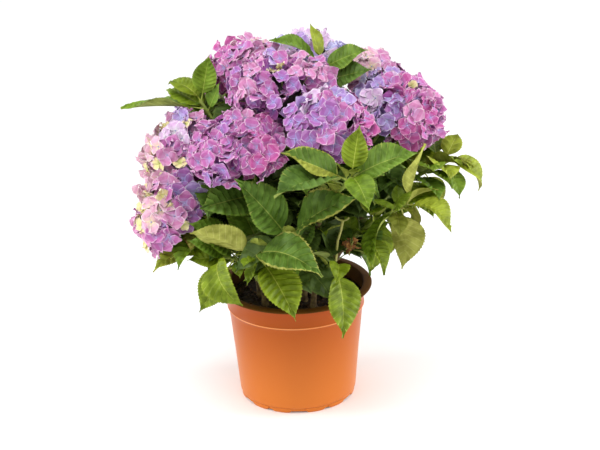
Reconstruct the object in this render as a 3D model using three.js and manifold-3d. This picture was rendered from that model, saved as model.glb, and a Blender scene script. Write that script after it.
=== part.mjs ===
// A mophead hydrangea in a plastic nursery pot.
// Units are millimetres, +Z is up, and the origin is the middle of the pot's underside.
// Azimuths are in degrees from the front (-Y), positive towards the right (+X).
import * as THREE from "three";
import { mergeVertices } from "three/addons/utils/BufferGeometryUtils.js";
import Module from "manifold-3d";

const wasm = await Module();
wasm.setup();

// The pot
const POT_HEIGHT = 178;
const LIP_RADIUS = 115;
const LIP_WIDTH = 11;
const LIP_THICKNESS = 3;
const BAND_HEIGHT = 33;
const BAND_STEP = 1.6;
const WALL = 2;
const WALL_RADIUS = LIP_RADIUS - LIP_WIDTH;
const STEP_RADIUS = 100.5;
const BASE_RADIUS = 88;
const BASE_ROUND = 5;
const FOOT_HEIGHT = 6;
const FOOT_RADIUS = 86;
const FOOT_WALL = 4;
const FEET = 6;
const FOOT_GAP = 20;
const FOOT_NOTCH = 5;
const PAD_RADIUS = 30;
const PAD_SLOPE = 3;
const DRAIN_RADIUS = 5;
const DRAIN_RING = 58;
const DRAIN_SIDES = 8;
const POT_SIDES = 48;

// The potting soil
const SOIL_DEPTH = 21;
const SOIL_MOUND = 4;
const SOIL_PLATEAU = 74;
const SOIL_CLEAR = 1.2;
const SOIL_SIDES = 24;
const SOIL_TOP = POT_HEIGHT - SOIL_DEPTH + SOIL_MOUND;

// Parts that the plant holds together meet across this gap
const GAP = 0.3;

// Canes and leafy stems
const CANE_FOOT_RADIUS = 4.6;
const CANE_FLARE = 1.5;
const CANE_TOP_RADIUS = 3.2;
const STEM_TIP_RADIUS = 2.3;
const STALK_RADIUS = 2.2;
const CANE_SIDES = 5;
const STEM_SIDES = 5;
const LIMB_STEPS = 4;
const CANE_UPRIGHT = 0.36;
const CANE_LEANING = 0.3;
const SHORTEST_CANE = 0.12;
const INNER_FOOT = 10;
const OUTER_FOOT = 64;
const FOOT_SPACING = 15;
const FOOT_ROUNDS = 80;
const HIGHEST = 510;
const LOWEST = 260;
const LEAN_PIVOT = 235;

// How far from the pot's axis leaves may reach at each height, apart from the ones that show
const CROWN = [
  [165, 105],
  [200, 140],
  [240, 172],
  [280, 205],
  [330, 232],
  [400, 248],
  [470, 228],
  [520, 170],
  [550, 90],
];

// Leaves stand in opposite pairs, each pair a quarter turn from the last
const LEAF_LENGTH = 104;
const LEAF_WIDTH = 0.64;
const LEAF_THICKNESS = 1.6;
const LEAF_FOLD = 16;
const PETIOLE_LENGTH = 22;
const PETIOLE_SHARE = 0.18;
const PETIOLE_RADIUS = 1.7;
const SHOULDER = [0.3, 0.95];
const TAPER = [0.68, 0.72];
const FIRST_NODE = 9;
const NEXT_NODE = 16;
const LAST_NODE = 12;
const PAIR_SPACING = 36;
const PAIR_GROWTH = [0.6, 0.95, 1.06, 1, 0.9];
const PAIR_RISE = [62, 34, 20, 8, 0];
const PAIR_DROOP = [25, 50, 62, 72, 80];

// How widely the leaves of the rule vary about those values
const VARY_SPACING = 0.16;
const VARY_LENGTH = 0.24;
const VARY_ANGLE = 24;
const VARY_RISE = 14;
const VARY_DROOP = 24;
const VARY_ROLL = 34;

// Flower heads
const HEAD_DEPTH = 0.72;
const HEAD_BALL = 0.97;
const HEAD_SHELL = 0.96;
const STALK_LENGTH = 24;
const STALK_SUNK = 0.2;
const FLORET_VALLEY = 0.86;
const FLORETS = 9;
const FLORET_SPREAD = 120;
const FLORET_RADIUS = 22;
const VARY_FLORET = 0.2;
const FLORET_SUNK = 14;
const FLORET_CUP = 0.16;
const FLORET_EDGE = 0.1;
const GOLDEN_ANGLE = 137.508;

// Ways to try a leaf: its swing round the stem, its extra rise and its share of the full size
const LEAF_TRIES = [
  [0, 0, 1],
  [20, 0, 1],
  [-20, 0, 1],
  [0, 16, 0.92],
  [0, -16, 0.92],
  [36, 6, 0.86],
  [-36, 6, 0.86],
  [16, -24, 0.78],
  [-16, 24, 0.78],
  [44, 22, 0.8],
  [-44, 22, 0.8],
  [0, 34, 0.76],
  [24, 34, 0.7],
  [-24, 34, 0.7],
];

// Ways to try a leaf that shows: how far its tip moves in azimuth and height
const SHOWN_TRIES = [
  [0, 0],
  [0, 6],
  [0, -6],
  [2, 0],
  [-2, 0],
  [0, 12],
  [0, -12],
  [4, 0],
  [-4, 0],
  [3, 10],
  [-3, 10],
  [3, -10],
  [-3, -10],
];

// Every shoot is a cane from the soil. head is a flower head's width, and 0 is a leafy tip.
// reach and height place the middle of the head or the tip, and turn sets its first pair of leaves.
const SHOOTS = [
  { name: "top_front", azimuth: -17, reach: 33, height: 484, head: 148, pairs: 4, turn: 20 },
  { name: "front_left", azimuth: -32, reach: 135, height: 430, head: 138, pairs: 4, turn: 80 },
  { name: "left_upper", azimuth: -98, reach: 180, height: 393, head: 116, pairs: 4, turn: 60 },
  { name: "left_lower", azimuth: -79, reach: 192, height: 306, head: 118, pairs: 4, turn: 0 },
  { name: "top_left", azimuth: -141, reach: 104, height: 487, head: 112, pairs: 4, turn: 45 },
  { name: "top_back", azimuth: 161, reach: 106, height: 487, head: 118, pairs: 4, turn: 90 },
  { name: "top_right", azimuth: 126, reach: 152, height: 461, head: 108, pairs: 4, turn: 30 },
  { name: "right", azimuth: 88, reach: 155, height: 445, head: 144, pairs: 4, turn: 70 },
  { name: "front_right", azimuth: 25, reach: 116, height: 455, head: 126, pairs: 4, turn: 10 },
  { name: "back_upper", azimuth: 180, reach: 176, height: 420, head: 130, pairs: 4, turn: 50 },
  { name: "back_right", azimuth: 142, reach: 200, height: 352, head: 124, pairs: 4, turn: 15 },
  { name: "back_left", azimuth: -138, reach: 196, height: 372, head: 132, pairs: 4, turn: 75 },
  { name: "back_lower", azimuth: -172, reach: 198, height: 300, head: 116, pairs: 3, turn: 35 },
  { name: "tip_front_right", azimuth: 23, reach: 209, height: 412, head: 0, pairs: 4, turn: 65 },
  { name: "tip_front", azimuth: -2, reach: 155, height: 306, head: 0, pairs: 3, turn: 50 },
  { name: "tip_front_left", azimuth: -21, reach: 161, height: 279, head: 0, pairs: 2, turn: 20 },
  { name: "tip_front_low", azimuth: 24, reach: 153, height: 259, head: 0, pairs: 2, turn: 20 },
  { name: "tip_left", azimuth: -45, reach: 147, height: 262, head: 0, pairs: 2, turn: 80 },
  { name: "tip_right", azimuth: 63, reach: 185, height: 326, head: 0, pairs: 3, turn: 30 },
  { name: "tip_right_upper", azimuth: 86, reach: 225, height: 369, head: 0, pairs: 4, turn: 70 },
  { name: "tip_left_upper", azimuth: -105, reach: 136, height: 455, head: 0, pairs: 4, turn: 10 },
  { name: "tip_top", azimuth: 122, reach: 56, height: 512, head: 0, pairs: 4, turn: 85 },
];

// Leaves that show from the front, which grow before the rule fills in the rest. Each row is the
// distance of its node down the leafy stem, then where its tip hangs (azimuth, reach and height), and
// its droop and roll.
const SHOWN_LEAVES = {
  tip_front_right: [
    [3, 27, 205, 480, 5, 20],
    [4, 22, 272, 384, 80, 10],
    [16, 43, 250, 440, 35, 30],
    [17, -4, 197, 455, 10, -25],
  ],
  tip_front: [
    [4, -24, 192, 418, 20, -55],
    [11, 25, 214, 380, 50, 30],
  ],
  tip_front_left: [
    [4, 10, 214, 272, 100, 20],
    [13, -42, 215, 322, 40, 55],
    [25, 0, 208, 206, 35, 5],
  ],
  tip_left: [
    [4, -24, 182, 213, 130, 60],
    [27, -53, 175, 178, 5, 0],
    [18, -54, 186, 292, 25, -40],
    [34, -52, 190, 328, 30, -40],
  ],
  tip_front_low: [
    [3, 17, 197, 253, 95, -15],
    [14, 19, 196, 168, 45, -30],
  ],
  tip_right: [
    [3, 68, 204, 416, 5, -10],
    [7, 62, 253, 302, 105, 0],
    [13, 39, 175, 254, 75, 5],
    [13, 65, 172, 223, 115, 65],
  ],
  tip_right_upper: [
    [3, 97, 248, 394, 30, 15],
    [4, 89, 274, 316, 100, 25],
    [11, 78, 246, 322, 70, -10],
  ],
  tip_left_upper: [
    [3, -111, 124, 520, 10, 10],
    [8, -114, 198, 473, 80, -5],
    [16, -99, 252, 443, 35, -15],
    [21, -105, 104, 484, 5, 55],
  ],
  tip_top: [
    [3, 145, 57, 562, 5, 15],
    [12, -130, 36, 546, 60, -10],
    [15, 97, 115, 530, 25, 35],
    [33, 86, 118, 501, 5, 40],
  ],
  left_lower: [
    [20, -73, 214, 230, 25, -10],
    [25, -59, 196, 243, 65, 10],
    [15, -57, 177, 257, 60, 5],
  ],
  front_left: [[36, -38, 208, 360, 10, -45]],
};

const UP = new THREE.Vector3(0, 0, 1);
const rad = THREE.MathUtils.degToRad;

// Repeatable random numbers between 0 and 1
function seeded(seed) {
  let state = (seed * 7919 + 104729) >>> 0;
  return () => {
    state = (Math.imul(state, 1664525) + 1013904223) >>> 0;
    return state / 4294967296;
  };
}

// The direction outwards from the pot's axis at an azimuth
function outwards(azimuth) {
  return new THREE.Vector3(Math.sin(rad(azimuth)), -Math.cos(rad(azimuth)), 0);
}

// A closed geometry as a solid with its shared vertices merged
function solid(geometry) {
  const bare = geometry.clone();
  bare.deleteAttribute("normal");
  bare.deleteAttribute("uv");
  const merged = mergeVertices(bare, 1e-4);
  const made = new wasm.Manifold(
    new wasm.Mesh({
      numProp: 3,
      vertProperties: new Float32Array(merged.attributes.position.array),
      triVerts: new Uint32Array(merged.index.array),
    }),
  );
  return made;
}

// A solid as a named mesh with its material
function meshOf(made, name, material) {
  const { vertProperties, triVerts } = made.getMesh();
  const geometry = new THREE.BufferGeometry();
  geometry.setAttribute("position", new THREE.BufferAttribute(vertProperties, 3));
  geometry.setIndex(new THREE.BufferAttribute(triVerts, 1));
  geometry.computeVertexNormals();
  const mesh = new THREE.Mesh(geometry, material);
  mesh.name = name;
  return mesh;
}

// A lathe about the Z axis, from [radius, height] points that run anticlockwise
function turned(profile, sides) {
  const points = profile.map(([radius, height]) => new THREE.Vector2(radius, height));
  return new THREE.LatheGeometry(points, sides).rotateX(Math.PI / 2);
}

// A capped prism whose rings are moved to where place(ring, angle) says
function swept(sides, rings, pointed, place) {
  const geometry = new THREE.CylinderGeometry(pointed ? 0 : 1, 1, rings - 1, sides, rings - 1);
  const position = geometry.attributes.position;
  for (let i = 0; i < position.count; i++) {
    const ring = Math.round(position.getY(i) + (rings - 1) / 2);
    const [x, z] = [position.getX(i), position.getZ(i)];
    const middle = Math.hypot(x, z) < 1e-6;
    const point = place(ring, Math.atan2(x, z), middle);
    position.setXYZ(i, point.x, point.y, point.z);
  }
  return geometry;
}

// Where the canes stand on the soil: low shoots start further out, and close feet push each other away
function feetOf(shoots) {
  const feet = shoots.map((shoot) => {
    const lowness = THREE.MathUtils.clamp((HIGHEST - shoot.height) / (HIGHEST - LOWEST), 0, 1);
    return outwards(shoot.azimuth).multiplyScalar(THREE.MathUtils.lerp(INNER_FOOT, OUTER_FOOT, lowness));
  });
  for (let round = 0; round < FOOT_ROUNDS; round++) {
    for (let i = 0; i < feet.length; i++) {
      for (let j = 0; j < i; j++) {
        const apart = feet[i].clone().sub(feet[j]);
        const short = FOOT_SPACING - apart.length();
        if (short <= 0) continue;
        apart.setLength(short / 2);
        feet[i].add(apart);
        feet[j].sub(apart);
      }
    }
  }
  return feet;
}

// A shoot's line from its foot on the soil to its head or tip
function lineOf(shoot) {
  const end = outwards(shoot.azimuth).multiplyScalar(shoot.reach).setZ(shoot.height);
  const foot = shoot.foot.clone().setZ(SOIL_TOP + GAP);
  const lean = end.clone().sub(new THREE.Vector3(0, 0, LEAN_PIVOT)).normalize();
  const length = end.distanceTo(foot);
  const rising = foot.clone().addScaledVector(UP, length * CANE_UPRIGHT);
  const arriving = end.clone().addScaledVector(lean, -length * CANE_LEANING);
  return new THREE.CubicBezierCurve3(foot, rising, arriving, end);
}

// The point on a shoot's line, the way it grows there, and the two directions across it
function frameAt(shoot, along) {
  const way = shoot.line.getTangentAt(along);
  const level = new THREE.Vector3(Math.cos(rad(shoot.azimuth)), Math.sin(rad(shoot.azimuth)), 0);
  const below = level.cross(way).normalize();
  return { point: shoot.line.getPointAt(along), way, below, side: way.clone().cross(below) };
}

// A round tapering limb along part of a shoot's line, with flat ends
function limb(shoot, from, to, startRadius, endRadius, sides, steps, flare = 0) {
  return swept(sides, steps + 1, false, (ring, angle, middle) => {
    const share = ring / steps;
    const { point, below, side } = frameAt(shoot, THREE.MathUtils.lerp(from, to, share));
    if (middle) return point;
    const radius = THREE.MathUtils.lerp(startRadius, endRadius, share) + (ring === 0 ? flare : 0);
    return point
      .addScaledVector(below, radius * Math.cos(angle))
      .addScaledVector(side, radius * Math.sin(angle));
  });
}

// A level direction square to the way something heads, turned about it by a roll
function acrossOf(heading, roll) {
  return heading.clone().cross(UP).normalize().applyAxisAngle(heading, rad(roll));
}

// The middle of a leaf at a share of its length, with its directions across and upwards. The line is
// an arc that bends away from its heading by the droop.
function bladeAt(root, { heading, across, droop, length, petiole }, share) {
  const full = petiole + length;
  const above = across.clone().cross(heading);
  const bend = rad(droop);
  const turn = bend * share;
  const point = root
    .clone()
    .addScaledVector(heading, (full * Math.sin(turn)) / bend)
    .addScaledVector(above, (-full * (1 - Math.cos(turn))) / bend);
  const normal = above.clone().multiplyScalar(Math.cos(turn)).addScaledVector(heading, Math.sin(turn));
  return { point, across, normal };
}

// The shape of a leaf whose tip is given: the arc from its root to there
function shapeToTip(root, tip, droop, roll) {
  const chord = tip.clone().sub(root);
  const half = rad(droop) / 2;
  const full = (chord.length() * half) / Math.sin(half);
  const heading = chord.normalize();
  const across = acrossOf(heading, roll);
  heading.applyAxisAngle(across, half);
  const petiole = full * PETIOLE_SHARE;
  return { heading, across, droop, length: full - petiole, petiole };
}

// One leaf: a petiole that widens into a folded blade and narrows to a pointed tip
function leaf(root, shape, grow = 0) {
  const { length, petiole } = shape;
  const width = length * LEAF_WIDTH * 0.5;
  const stations = [
    [0, PETIOLE_RADIUS, PETIOLE_RADIUS],
    [petiole, PETIOLE_RADIUS, LEAF_THICKNESS * 0.7],
    [petiole + length * SHOULDER[0], width * SHOULDER[1], LEAF_THICKNESS * 0.5],
    [petiole + length * TAPER[0], width * TAPER[1], LEAF_THICKNESS * 0.5],
    [petiole + length, 0, 0],
  ];
  return swept(4, stations.length, true, (ring, angle) => {
    const [distance, halfWidth, halfThickness] = stations[ring];
    const { point, across, normal } = bladeAt(root, shape, distance / (petiole + length));
    const more = ring < stations.length - 1 ? grow : 0;
    const out = Math.sin(angle) * (halfWidth + more);
    const fold = ring > 1 ? Math.abs(out) * Math.tan(rad(LEAF_FOLD)) : 0;
    const up = Math.cos(angle) * (halfThickness + more) + fold;
    return point.addScaledVector(across, out).addScaledVector(normal, up);
  });
}

// A floret: a square cup of four petals on a pointed stalk that runs back into the head
function floret(middle, facing, radius, twist, depth) {
  const side = facing.clone().cross(Math.abs(facing.z) < 0.9 ? UP : new THREE.Vector3(1, 0, 0)).normalize();
  side.applyAxisAngle(facing, rad(twist));
  const other = facing.clone().cross(side);
  const geometry = new THREE.OctahedronGeometry(1);
  const position = geometry.attributes.position;
  for (let i = 0; i < position.count; i++) {
    const [x, y, z] = [position.getX(i), position.getY(i), position.getZ(i)];
    const forward = z > 0.5 ? -radius * FLORET_CUP : z < -0.5 ? -depth : radius * FLORET_EDGE;
    const point = middle
      .clone()
      .addScaledVector(side, x * radius)
      .addScaledVector(other, y * radius)
      .addScaledVector(facing, forward);
    position.setXYZ(i, point.x, point.y, point.z);
  }
  return geometry;
}

// The solids so far, each with its box, so that a new piece can be kept clear of them
const taken = [];

function boxesMeet(a, b) {
  return [0, 1, 2].every((i) => a.min[i] <= b.max[i] && b.min[i] <= a.max[i]);
}

function touches(made, others) {
  const box = made.boundingBox();
  return others.some(
    (other) => boxesMeet(box, other.box) && made.intersect(other.made).volume() > 0,
  );
}

function take(made, owner = null, isBlade = false) {
  taken.push({ made, owner, isBlade, box: made.boundingBox() });
}

function potSolid() {
  const inner = (radius) => radius - WALL;
  const lipUnder = POT_HEIGHT - LIP_THICKNESS;
  const stepHeight = POT_HEIGHT - BAND_HEIGHT;
  const profile = [
    [0, 0],
    [PAD_RADIUS, 0],
    [PAD_RADIUS + PAD_SLOPE, FOOT_HEIGHT],
    [FOOT_RADIUS - FOOT_WALL, FOOT_HEIGHT],
    [FOOT_RADIUS - FOOT_WALL, 0],
    [FOOT_RADIUS, 0],
    [FOOT_RADIUS, FOOT_HEIGHT],
    [BASE_RADIUS - 1, FOOT_HEIGHT + 0.6],
    [BASE_RADIUS + 0.4, FOOT_HEIGHT + BASE_ROUND],
    [STEP_RADIUS, stepHeight - BAND_STEP],
    [STEP_RADIUS + BAND_STEP, stepHeight],
    [WALL_RADIUS, lipUnder],
    [LIP_RADIUS - 1, lipUnder - 1],
    [LIP_RADIUS, lipUnder + 0.6],
    [LIP_RADIUS - 1.2, POT_HEIGHT],
    [inner(WALL_RADIUS), POT_HEIGHT],
    [inner(STEP_RADIUS + BAND_STEP), stepHeight],
    [inner(STEP_RADIUS), stepHeight - BAND_STEP],
    [inner(BASE_RADIUS), FOOT_HEIGHT + BASE_ROUND + WALL],
    [inner(BASE_RADIUS) - 4, FOOT_HEIGHT + WALL],
    [0, FOOT_HEIGHT + WALL],
  ];
  let pot = solid(turned(profile, POT_SIDES));
  // Gaps between the feet, and a small notch in the middle of each foot
  for (let i = 0; i < FEET; i++) {
    for (const [share, width] of [[0, FOOT_GAP], [0.5, FOOT_NOTCH]]) {
      const azimuth = ((i + share) * 360) / FEET;
      const cutter = new THREE.BoxGeometry(width, FOOT_WALL * 3, FOOT_HEIGHT * 2);
      cutter.translate(0, -(FOOT_RADIUS - FOOT_WALL / 2), -0.01);
      cutter.rotateZ(rad(azimuth));
      pot = pot.subtract(solid(cutter));
    }
    const drain = new THREE.CylinderGeometry(DRAIN_RADIUS, DRAIN_RADIUS, FOOT_HEIGHT * 3, DRAIN_SIDES);
    drain.rotateX(Math.PI / 2).translate(0, -DRAIN_RING, FOOT_HEIGHT);
    drain.rotateZ(rad((i * 360) / FEET));
    pot = pot.subtract(solid(drain));
  }
  return pot;
}

// The soil has fewer sides than the pot, so it keeps clear of the flats of the pot's wall
function soilSolid() {
  const stepHeight = POT_HEIGHT - BAND_HEIGHT;
  const wallTop = SOIL_TOP - SOIL_MOUND;
  const rise = (wallTop - stepHeight) / (POT_HEIGHT - LIP_THICKNESS - stepHeight);
  const topRadius = THREE.MathUtils.lerp(STEP_RADIUS + BAND_STEP, WALL_RADIUS, rise) - WALL;
  const profile = [
    [0, FOOT_HEIGHT + WALL + GAP],
    [BASE_RADIUS - WALL - 4 - SOIL_CLEAR, FOOT_HEIGHT + WALL + GAP],
    [BASE_RADIUS - WALL - SOIL_CLEAR, FOOT_HEIGHT + WALL + BASE_ROUND + GAP],
    [STEP_RADIUS - WALL - SOIL_CLEAR, stepHeight - BAND_STEP],
    [topRadius - SOIL_CLEAR, wallTop],
    [SOIL_PLATEAU, SOIL_TOP],
    [0, SOIL_TOP],
  ];
  return solid(turned(profile, SOIL_SIDES));
}

// The ellipsoid that a flower head fills: its middle, its three directions and its half sizes
function headSpace(shoot) {
  const { point, way, below, side } = frameAt(shoot, 1);
  const half = shoot.head / 2;
  return { point, axes: [below, side, way], halves: [half, half, half * HEAD_DEPTH] };
}

// How far an ellipsoid reaches from its middle along a direction
function reachAlong(space, direction) {
  return Math.hypot(...space.axes.map((axis, i) => axis.dot(direction) * space.halves[i]));
}

// Planes where a head presses against its neighbours, which each give way in proportion to their size
function pressedPlanes(shoot, shoots) {
  const space = headSpace(shoot);
  const planes = [];
  for (const other of shoots) {
    if (other === shoot || !other.head) continue;
    const otherSpace = headSpace(other);
    const apart = otherSpace.point.clone().sub(space.point);
    const direction = apart.clone().normalize();
    const [near, far] = [reachAlong(space, direction), reachAlong(otherSpace, direction)];
    if (near + far <= apart.length()) continue;
    const distance = (apart.length() * near) / (near + far) - GAP / 2;
    planes.push({ direction, distance });
  }
  return planes;
}

// A closed ball of 32 low peaks, one over each of the florets that a head shows
function peaked() {
  const ball = new THREE.IcosahedronGeometry(1, 2);
  const position = ball.attributes.position;
  const corners = new THREE.IcosahedronGeometry(1, 0).attributes.position;
  const eyes = [];
  for (let i = 0; i < corners.count; i += 3) {
    const trio = [0, 1, 2].map((k) => new THREE.Vector3().fromBufferAttribute(corners, i + k));
    eyes.push(...trio, trio[0].clone().add(trio[1]).add(trio[2]).normalize());
  }
  for (let i = 0; i < position.count; i++) {
    const point = new THREE.Vector3().fromBufferAttribute(position, i).normalize();
    const isEye = eyes.some((eye) => eye.distanceTo(point) < 0.05);
    point.multiplyScalar(isEye ? 1 : FLORET_VALLEY);
    position.setXYZ(i, point.x, point.y, point.z);
  }
  return ball;
}

// A flower head: a ball of florets with some that stand out of it, and the stalk that carries it
function headSolid(shoot, shoots, stalkFrom) {
  const random = seeded(shoot.seed + 500);
  const { point, axes, halves } = headSpace(shoot);
  const frame = new THREE.Matrix4().makeBasis(...axes).setPosition(point);
  const ball = peaked().rotateZ(rad(shoot.turn));
  ball.scale(...halves.map((half) => half * HEAD_BALL)).applyMatrix4(frame);
  let head = solid(ball);
  head = head.add(solid(limb(shoot, stalkFrom, 1, STEM_TIP_RADIUS, STALK_RADIUS, STEM_SIDES, 2)));
  const lowest = 1 - Math.cos(rad(FLORET_SPREAD));
  for (let i = 0; i < FLORETS; i++) {
    const polar = Math.acos(1 - ((i + 0.5) / FLORETS) * lowest);
    const around = rad(i * GOLDEN_ANGLE + shoot.turn);
    const twist = random() * 90;
    const size = FLORET_RADIUS * (1 + (random() - 0.5) * VARY_FLORET);
    const place = new THREE.Vector3(Math.cos(around), Math.sin(around), 0).multiplyScalar(Math.sin(polar));
    place.z = Math.cos(polar);
    const normal = new THREE.Vector3(...place.toArray().map((value, k) => value / halves[k])).normalize();
    place.multiply(new THREE.Vector3(...halves)).multiplyScalar(HEAD_SHELL).applyMatrix4(frame);
    normal.transformDirection(frame);
    head = head.add(solid(floret(place, normal, size, twist, FLORET_SUNK)));
  }
  for (const { direction, distance } of pressedPlanes(shoot, shoots)) {
    const block = new THREE.BoxGeometry(400, 400, 200).translate(0, 0, 100 + distance);
    block.applyQuaternion(new THREE.Quaternion().setFromUnitVectors(UP, direction));
    block.translate(...point.toArray());
    head = head.subtract(solid(block));
  }
  return head;
}

// The way a leaf sets out from its stem, from its angle round the stem and its rise along it
function headingOf({ way, below, side }, angle, rise) {
  return below
    .clone()
    .multiplyScalar(Math.cos(rad(angle)))
    .addScaledVector(side, Math.sin(rad(angle)))
    .multiplyScalar(Math.cos(rad(rise)))
    .addScaledVector(way, Math.sin(rad(rise)))
    .normalize();
}

// The frame of a shoot's stem at a distance below its leafy end
function frameBelow(shoot, down) {
  return frameAt(shoot, shoot.leafyTo - down / shoot.line.getLength());
}

// The shapes to try for a leaf that shows
function shownShapes(root, [, azimuth, reach, height, droop, roll]) {
  return SHOWN_TRIES.map(([swing, lift]) => {
    const tip = outwards(azimuth + swing).multiplyScalar(reach).setZ(height + lift);
    return shapeToTip(root, tip, droop, roll);
  });
}

// The leaves that the rule gives a shoot, from the youngest pair down
function leafPairs(shoot) {
  const random = seeded(shoot.seed);
  const vary = (width) => (random() - 0.5) * width;
  const first = shoot.head || SHOWN_LEAVES[shoot.name] ? 1 : 0;
  const leaves = [];
  for (let pair = 0; pair < shoot.pairs; pair++) {
    const age = Math.min(pair + first, PAIR_RISE.length - 1);
    const down = shoot.start + PAIR_SPACING * pair * (1 + vary(VARY_SPACING));
    for (const opposite of [0, 180]) {
      leaves.push({
        frame: frameBelow(shoot, down),
        angle: shoot.turn + 90 * pair + opposite + vary(VARY_ANGLE),
        rise: PAIR_RISE[age] + vary(VARY_RISE),
        droop: PAIR_DROOP[age] + vary(VARY_DROOP),
        roll: vary(VARY_ROLL),
        length: LEAF_LENGTH * PAIR_GROWTH[age] * (1 + vary(VARY_LENGTH)),
      });
    }
  }
  return leaves;
}

// The shapes to try for a leaf of the rule, without those that would leave the crown
function pairShapes({ frame, angle, rise, droop, roll, length }) {
  const shapes = LEAF_TRIES.map(([swing, lift, size]) => {
    const heading = headingOf(frame, angle + swing, rise + lift);
    const across = acrossOf(heading, roll);
    return { heading, across, droop, length: length * size, petiole: PETIOLE_LENGTH };
  });
  return shapes.filter((shape) => !leavesCrown(frame.point, shape));
}

// Whether the outer half of a leaf would stand out of the crown
function leavesCrown(root, shape) {
  return [0.5, 0.75, 1].some((share) => {
    const { point } = bladeAt(root, shape, share);
    const above = CROWN.findIndex(([height]) => height > point.z);
    if (above < 1) return true;
    const [[low, inner], [high, outer]] = [CROWN[above - 1], CROWN[above]];
    const limit = THREE.MathUtils.mapLinear(point.z, low, high, inner, outer);
    return Math.hypot(point.x, point.y) > limit;
  });
}

// Adds a leaf to its shoot's mass in the first of its shapes that touches no neighbour
function growLeaf(shoot, root, shapes) {
  const neighbours = taken.filter((other) => other.owner !== shoot || other.isBlade);
  const shape = shapes.find((each) => !touches(solid(leaf(root, each, GAP)), neighbours));
  if (!shape) return false;
  const piece = solid(leaf(root, shape));
  take(piece.subtract(shoot.stem), shoot, true);
  shoot.mass = shoot.mass.add(piece);
  return true;
}

const potMaterial = new THREE.MeshStandardMaterial({ color: 0xd9773f, roughness: 0.45, metalness: 0 });
const soilMaterial = new THREE.MeshStandardMaterial({ color: 0x2e2019, roughness: 0.95, metalness: 0 });
const caneMaterial = new THREE.MeshStandardMaterial({ color: 0x8a7a45, roughness: 0.8, metalness: 0 });
const leafMaterial = new THREE.MeshStandardMaterial({ color: 0x4c7a2b, roughness: 0.5, metalness: 0 });
const flowerMaterial = new THREE.MeshStandardMaterial({ color: 0xb77fc4, roughness: 0.6, metalness: 0 });

const hydrangea = new THREE.Group();
hydrangea.name = "potted_hydrangea";

const pot = potSolid();
const soil = soilSolid();
take(pot);
take(soil);
hydrangea.add(meshOf(pot, "pot", potMaterial));
hydrangea.add(meshOf(soil, "soil", soilMaterial));

// Where each shoot's cane, leafy stem and stalk end, as shares of its line
const feet = feetOf(SHOOTS);
for (const [i, shoot] of SHOOTS.entries()) {
  shoot.seed = i + 1;
  shoot.foot = feet[i];
  shoot.line = lineOf(shoot);
  const total = shoot.line.getLength();
  const inHead = shoot.head * 0.5 * HEAD_DEPTH * (1 - STALK_SUNK);
  const stalk = shoot.head ? inHead + STALK_LENGTH : 0;
  shoot.leafyTo = 1 - stalk / total;
  const shown = SHOWN_LEAVES[shoot.name] ?? [];
  shoot.start = Math.max(FIRST_NODE, ...shown.map(([down]) => down + NEXT_NODE));
  const leafy = shoot.start + (shoot.pairs - 1) * PAIR_SPACING + LAST_NODE;
  shoot.leafyFrom = Math.max(shoot.leafyTo - leafy / total, SHORTEST_CANE);
  shoot.gap = GAP / total;
}
for (const shoot of SHOOTS) {
  const to = shoot.leafyFrom - shoot.gap;
  const radii = [CANE_FOOT_RADIUS, CANE_TOP_RADIUS];
  const cane = solid(limb(shoot, 0, to, ...radii, CANE_SIDES, LIMB_STEPS, CANE_FLARE));
  const tips = [CANE_TOP_RADIUS, STEM_TIP_RADIUS];
  shoot.stem = solid(limb(shoot, shoot.leafyFrom, shoot.leafyTo, ...tips, STEM_SIDES, LIMB_STEPS));
  if (touches(cane, taken) || touches(shoot.stem, taken)) throw new Error(shoot.name + " crosses another");
  take(cane);
  take(shoot.stem, shoot);
  shoot.mass = shoot.stem;
  hydrangea.add(meshOf(cane, "cane_" + shoot.name, caneMaterial));
}
for (const shoot of SHOOTS.filter((each) => each.head)) {
  const head = headSolid(shoot, SHOOTS, shoot.leafyTo + shoot.gap);
  if (touches(head, taken)) throw new Error("the head of " + shoot.name + " touches another piece");
  take(head);
  hydrangea.add(meshOf(head, "flower_" + shoot.name, flowerMaterial));
}

// The leaves that show grow first, and then the rest in turn with the youngest of every shoot ahead
for (const shoot of SHOOTS) {
  for (const row of SHOWN_LEAVES[shoot.name] ?? []) {
    const root = frameBelow(shoot, row[0]).point;
    if (!growLeaf(shoot, root, shownShapes(root, row))) throw new Error("no room on " + shoot.name);
  }
}
const rest = SHOOTS.map(leafPairs);
for (let turn = 0; turn < Math.max(...rest.map((leaves) => leaves.length)); turn++) {
  SHOOTS.forEach((shoot, i) => {
    const planned = rest[i][turn];
    if (planned) growLeaf(shoot, planned.frame.point, pairShapes(planned));
  });
}
for (const shoot of SHOOTS) {
  hydrangea.add(meshOf(shoot.mass, "leaves_" + shoot.name, leafMaterial));
}

export default hydrangea;
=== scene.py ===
# %% [markdown]
# # A mophead hydrangea in a nursery pot
# This lesson dresses a plain solid model of a potted hydrangea. The solids fix every size: where each
# cane stands, where each flower head sits and where each leaf hangs. The looks are made here: thin
# serrated leaves with sunken veins, heads of four-petalled florets, rough canes, crumbly soil and a
# moulded plastic pot. Lengths are worked out in millimetres and turned to metres only when a mesh is
# built.

# %% Load the frame
import math

import bpy
import numpy as np
from mathutils import Matrix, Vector
from mathutils.kdtree import KDTree


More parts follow.
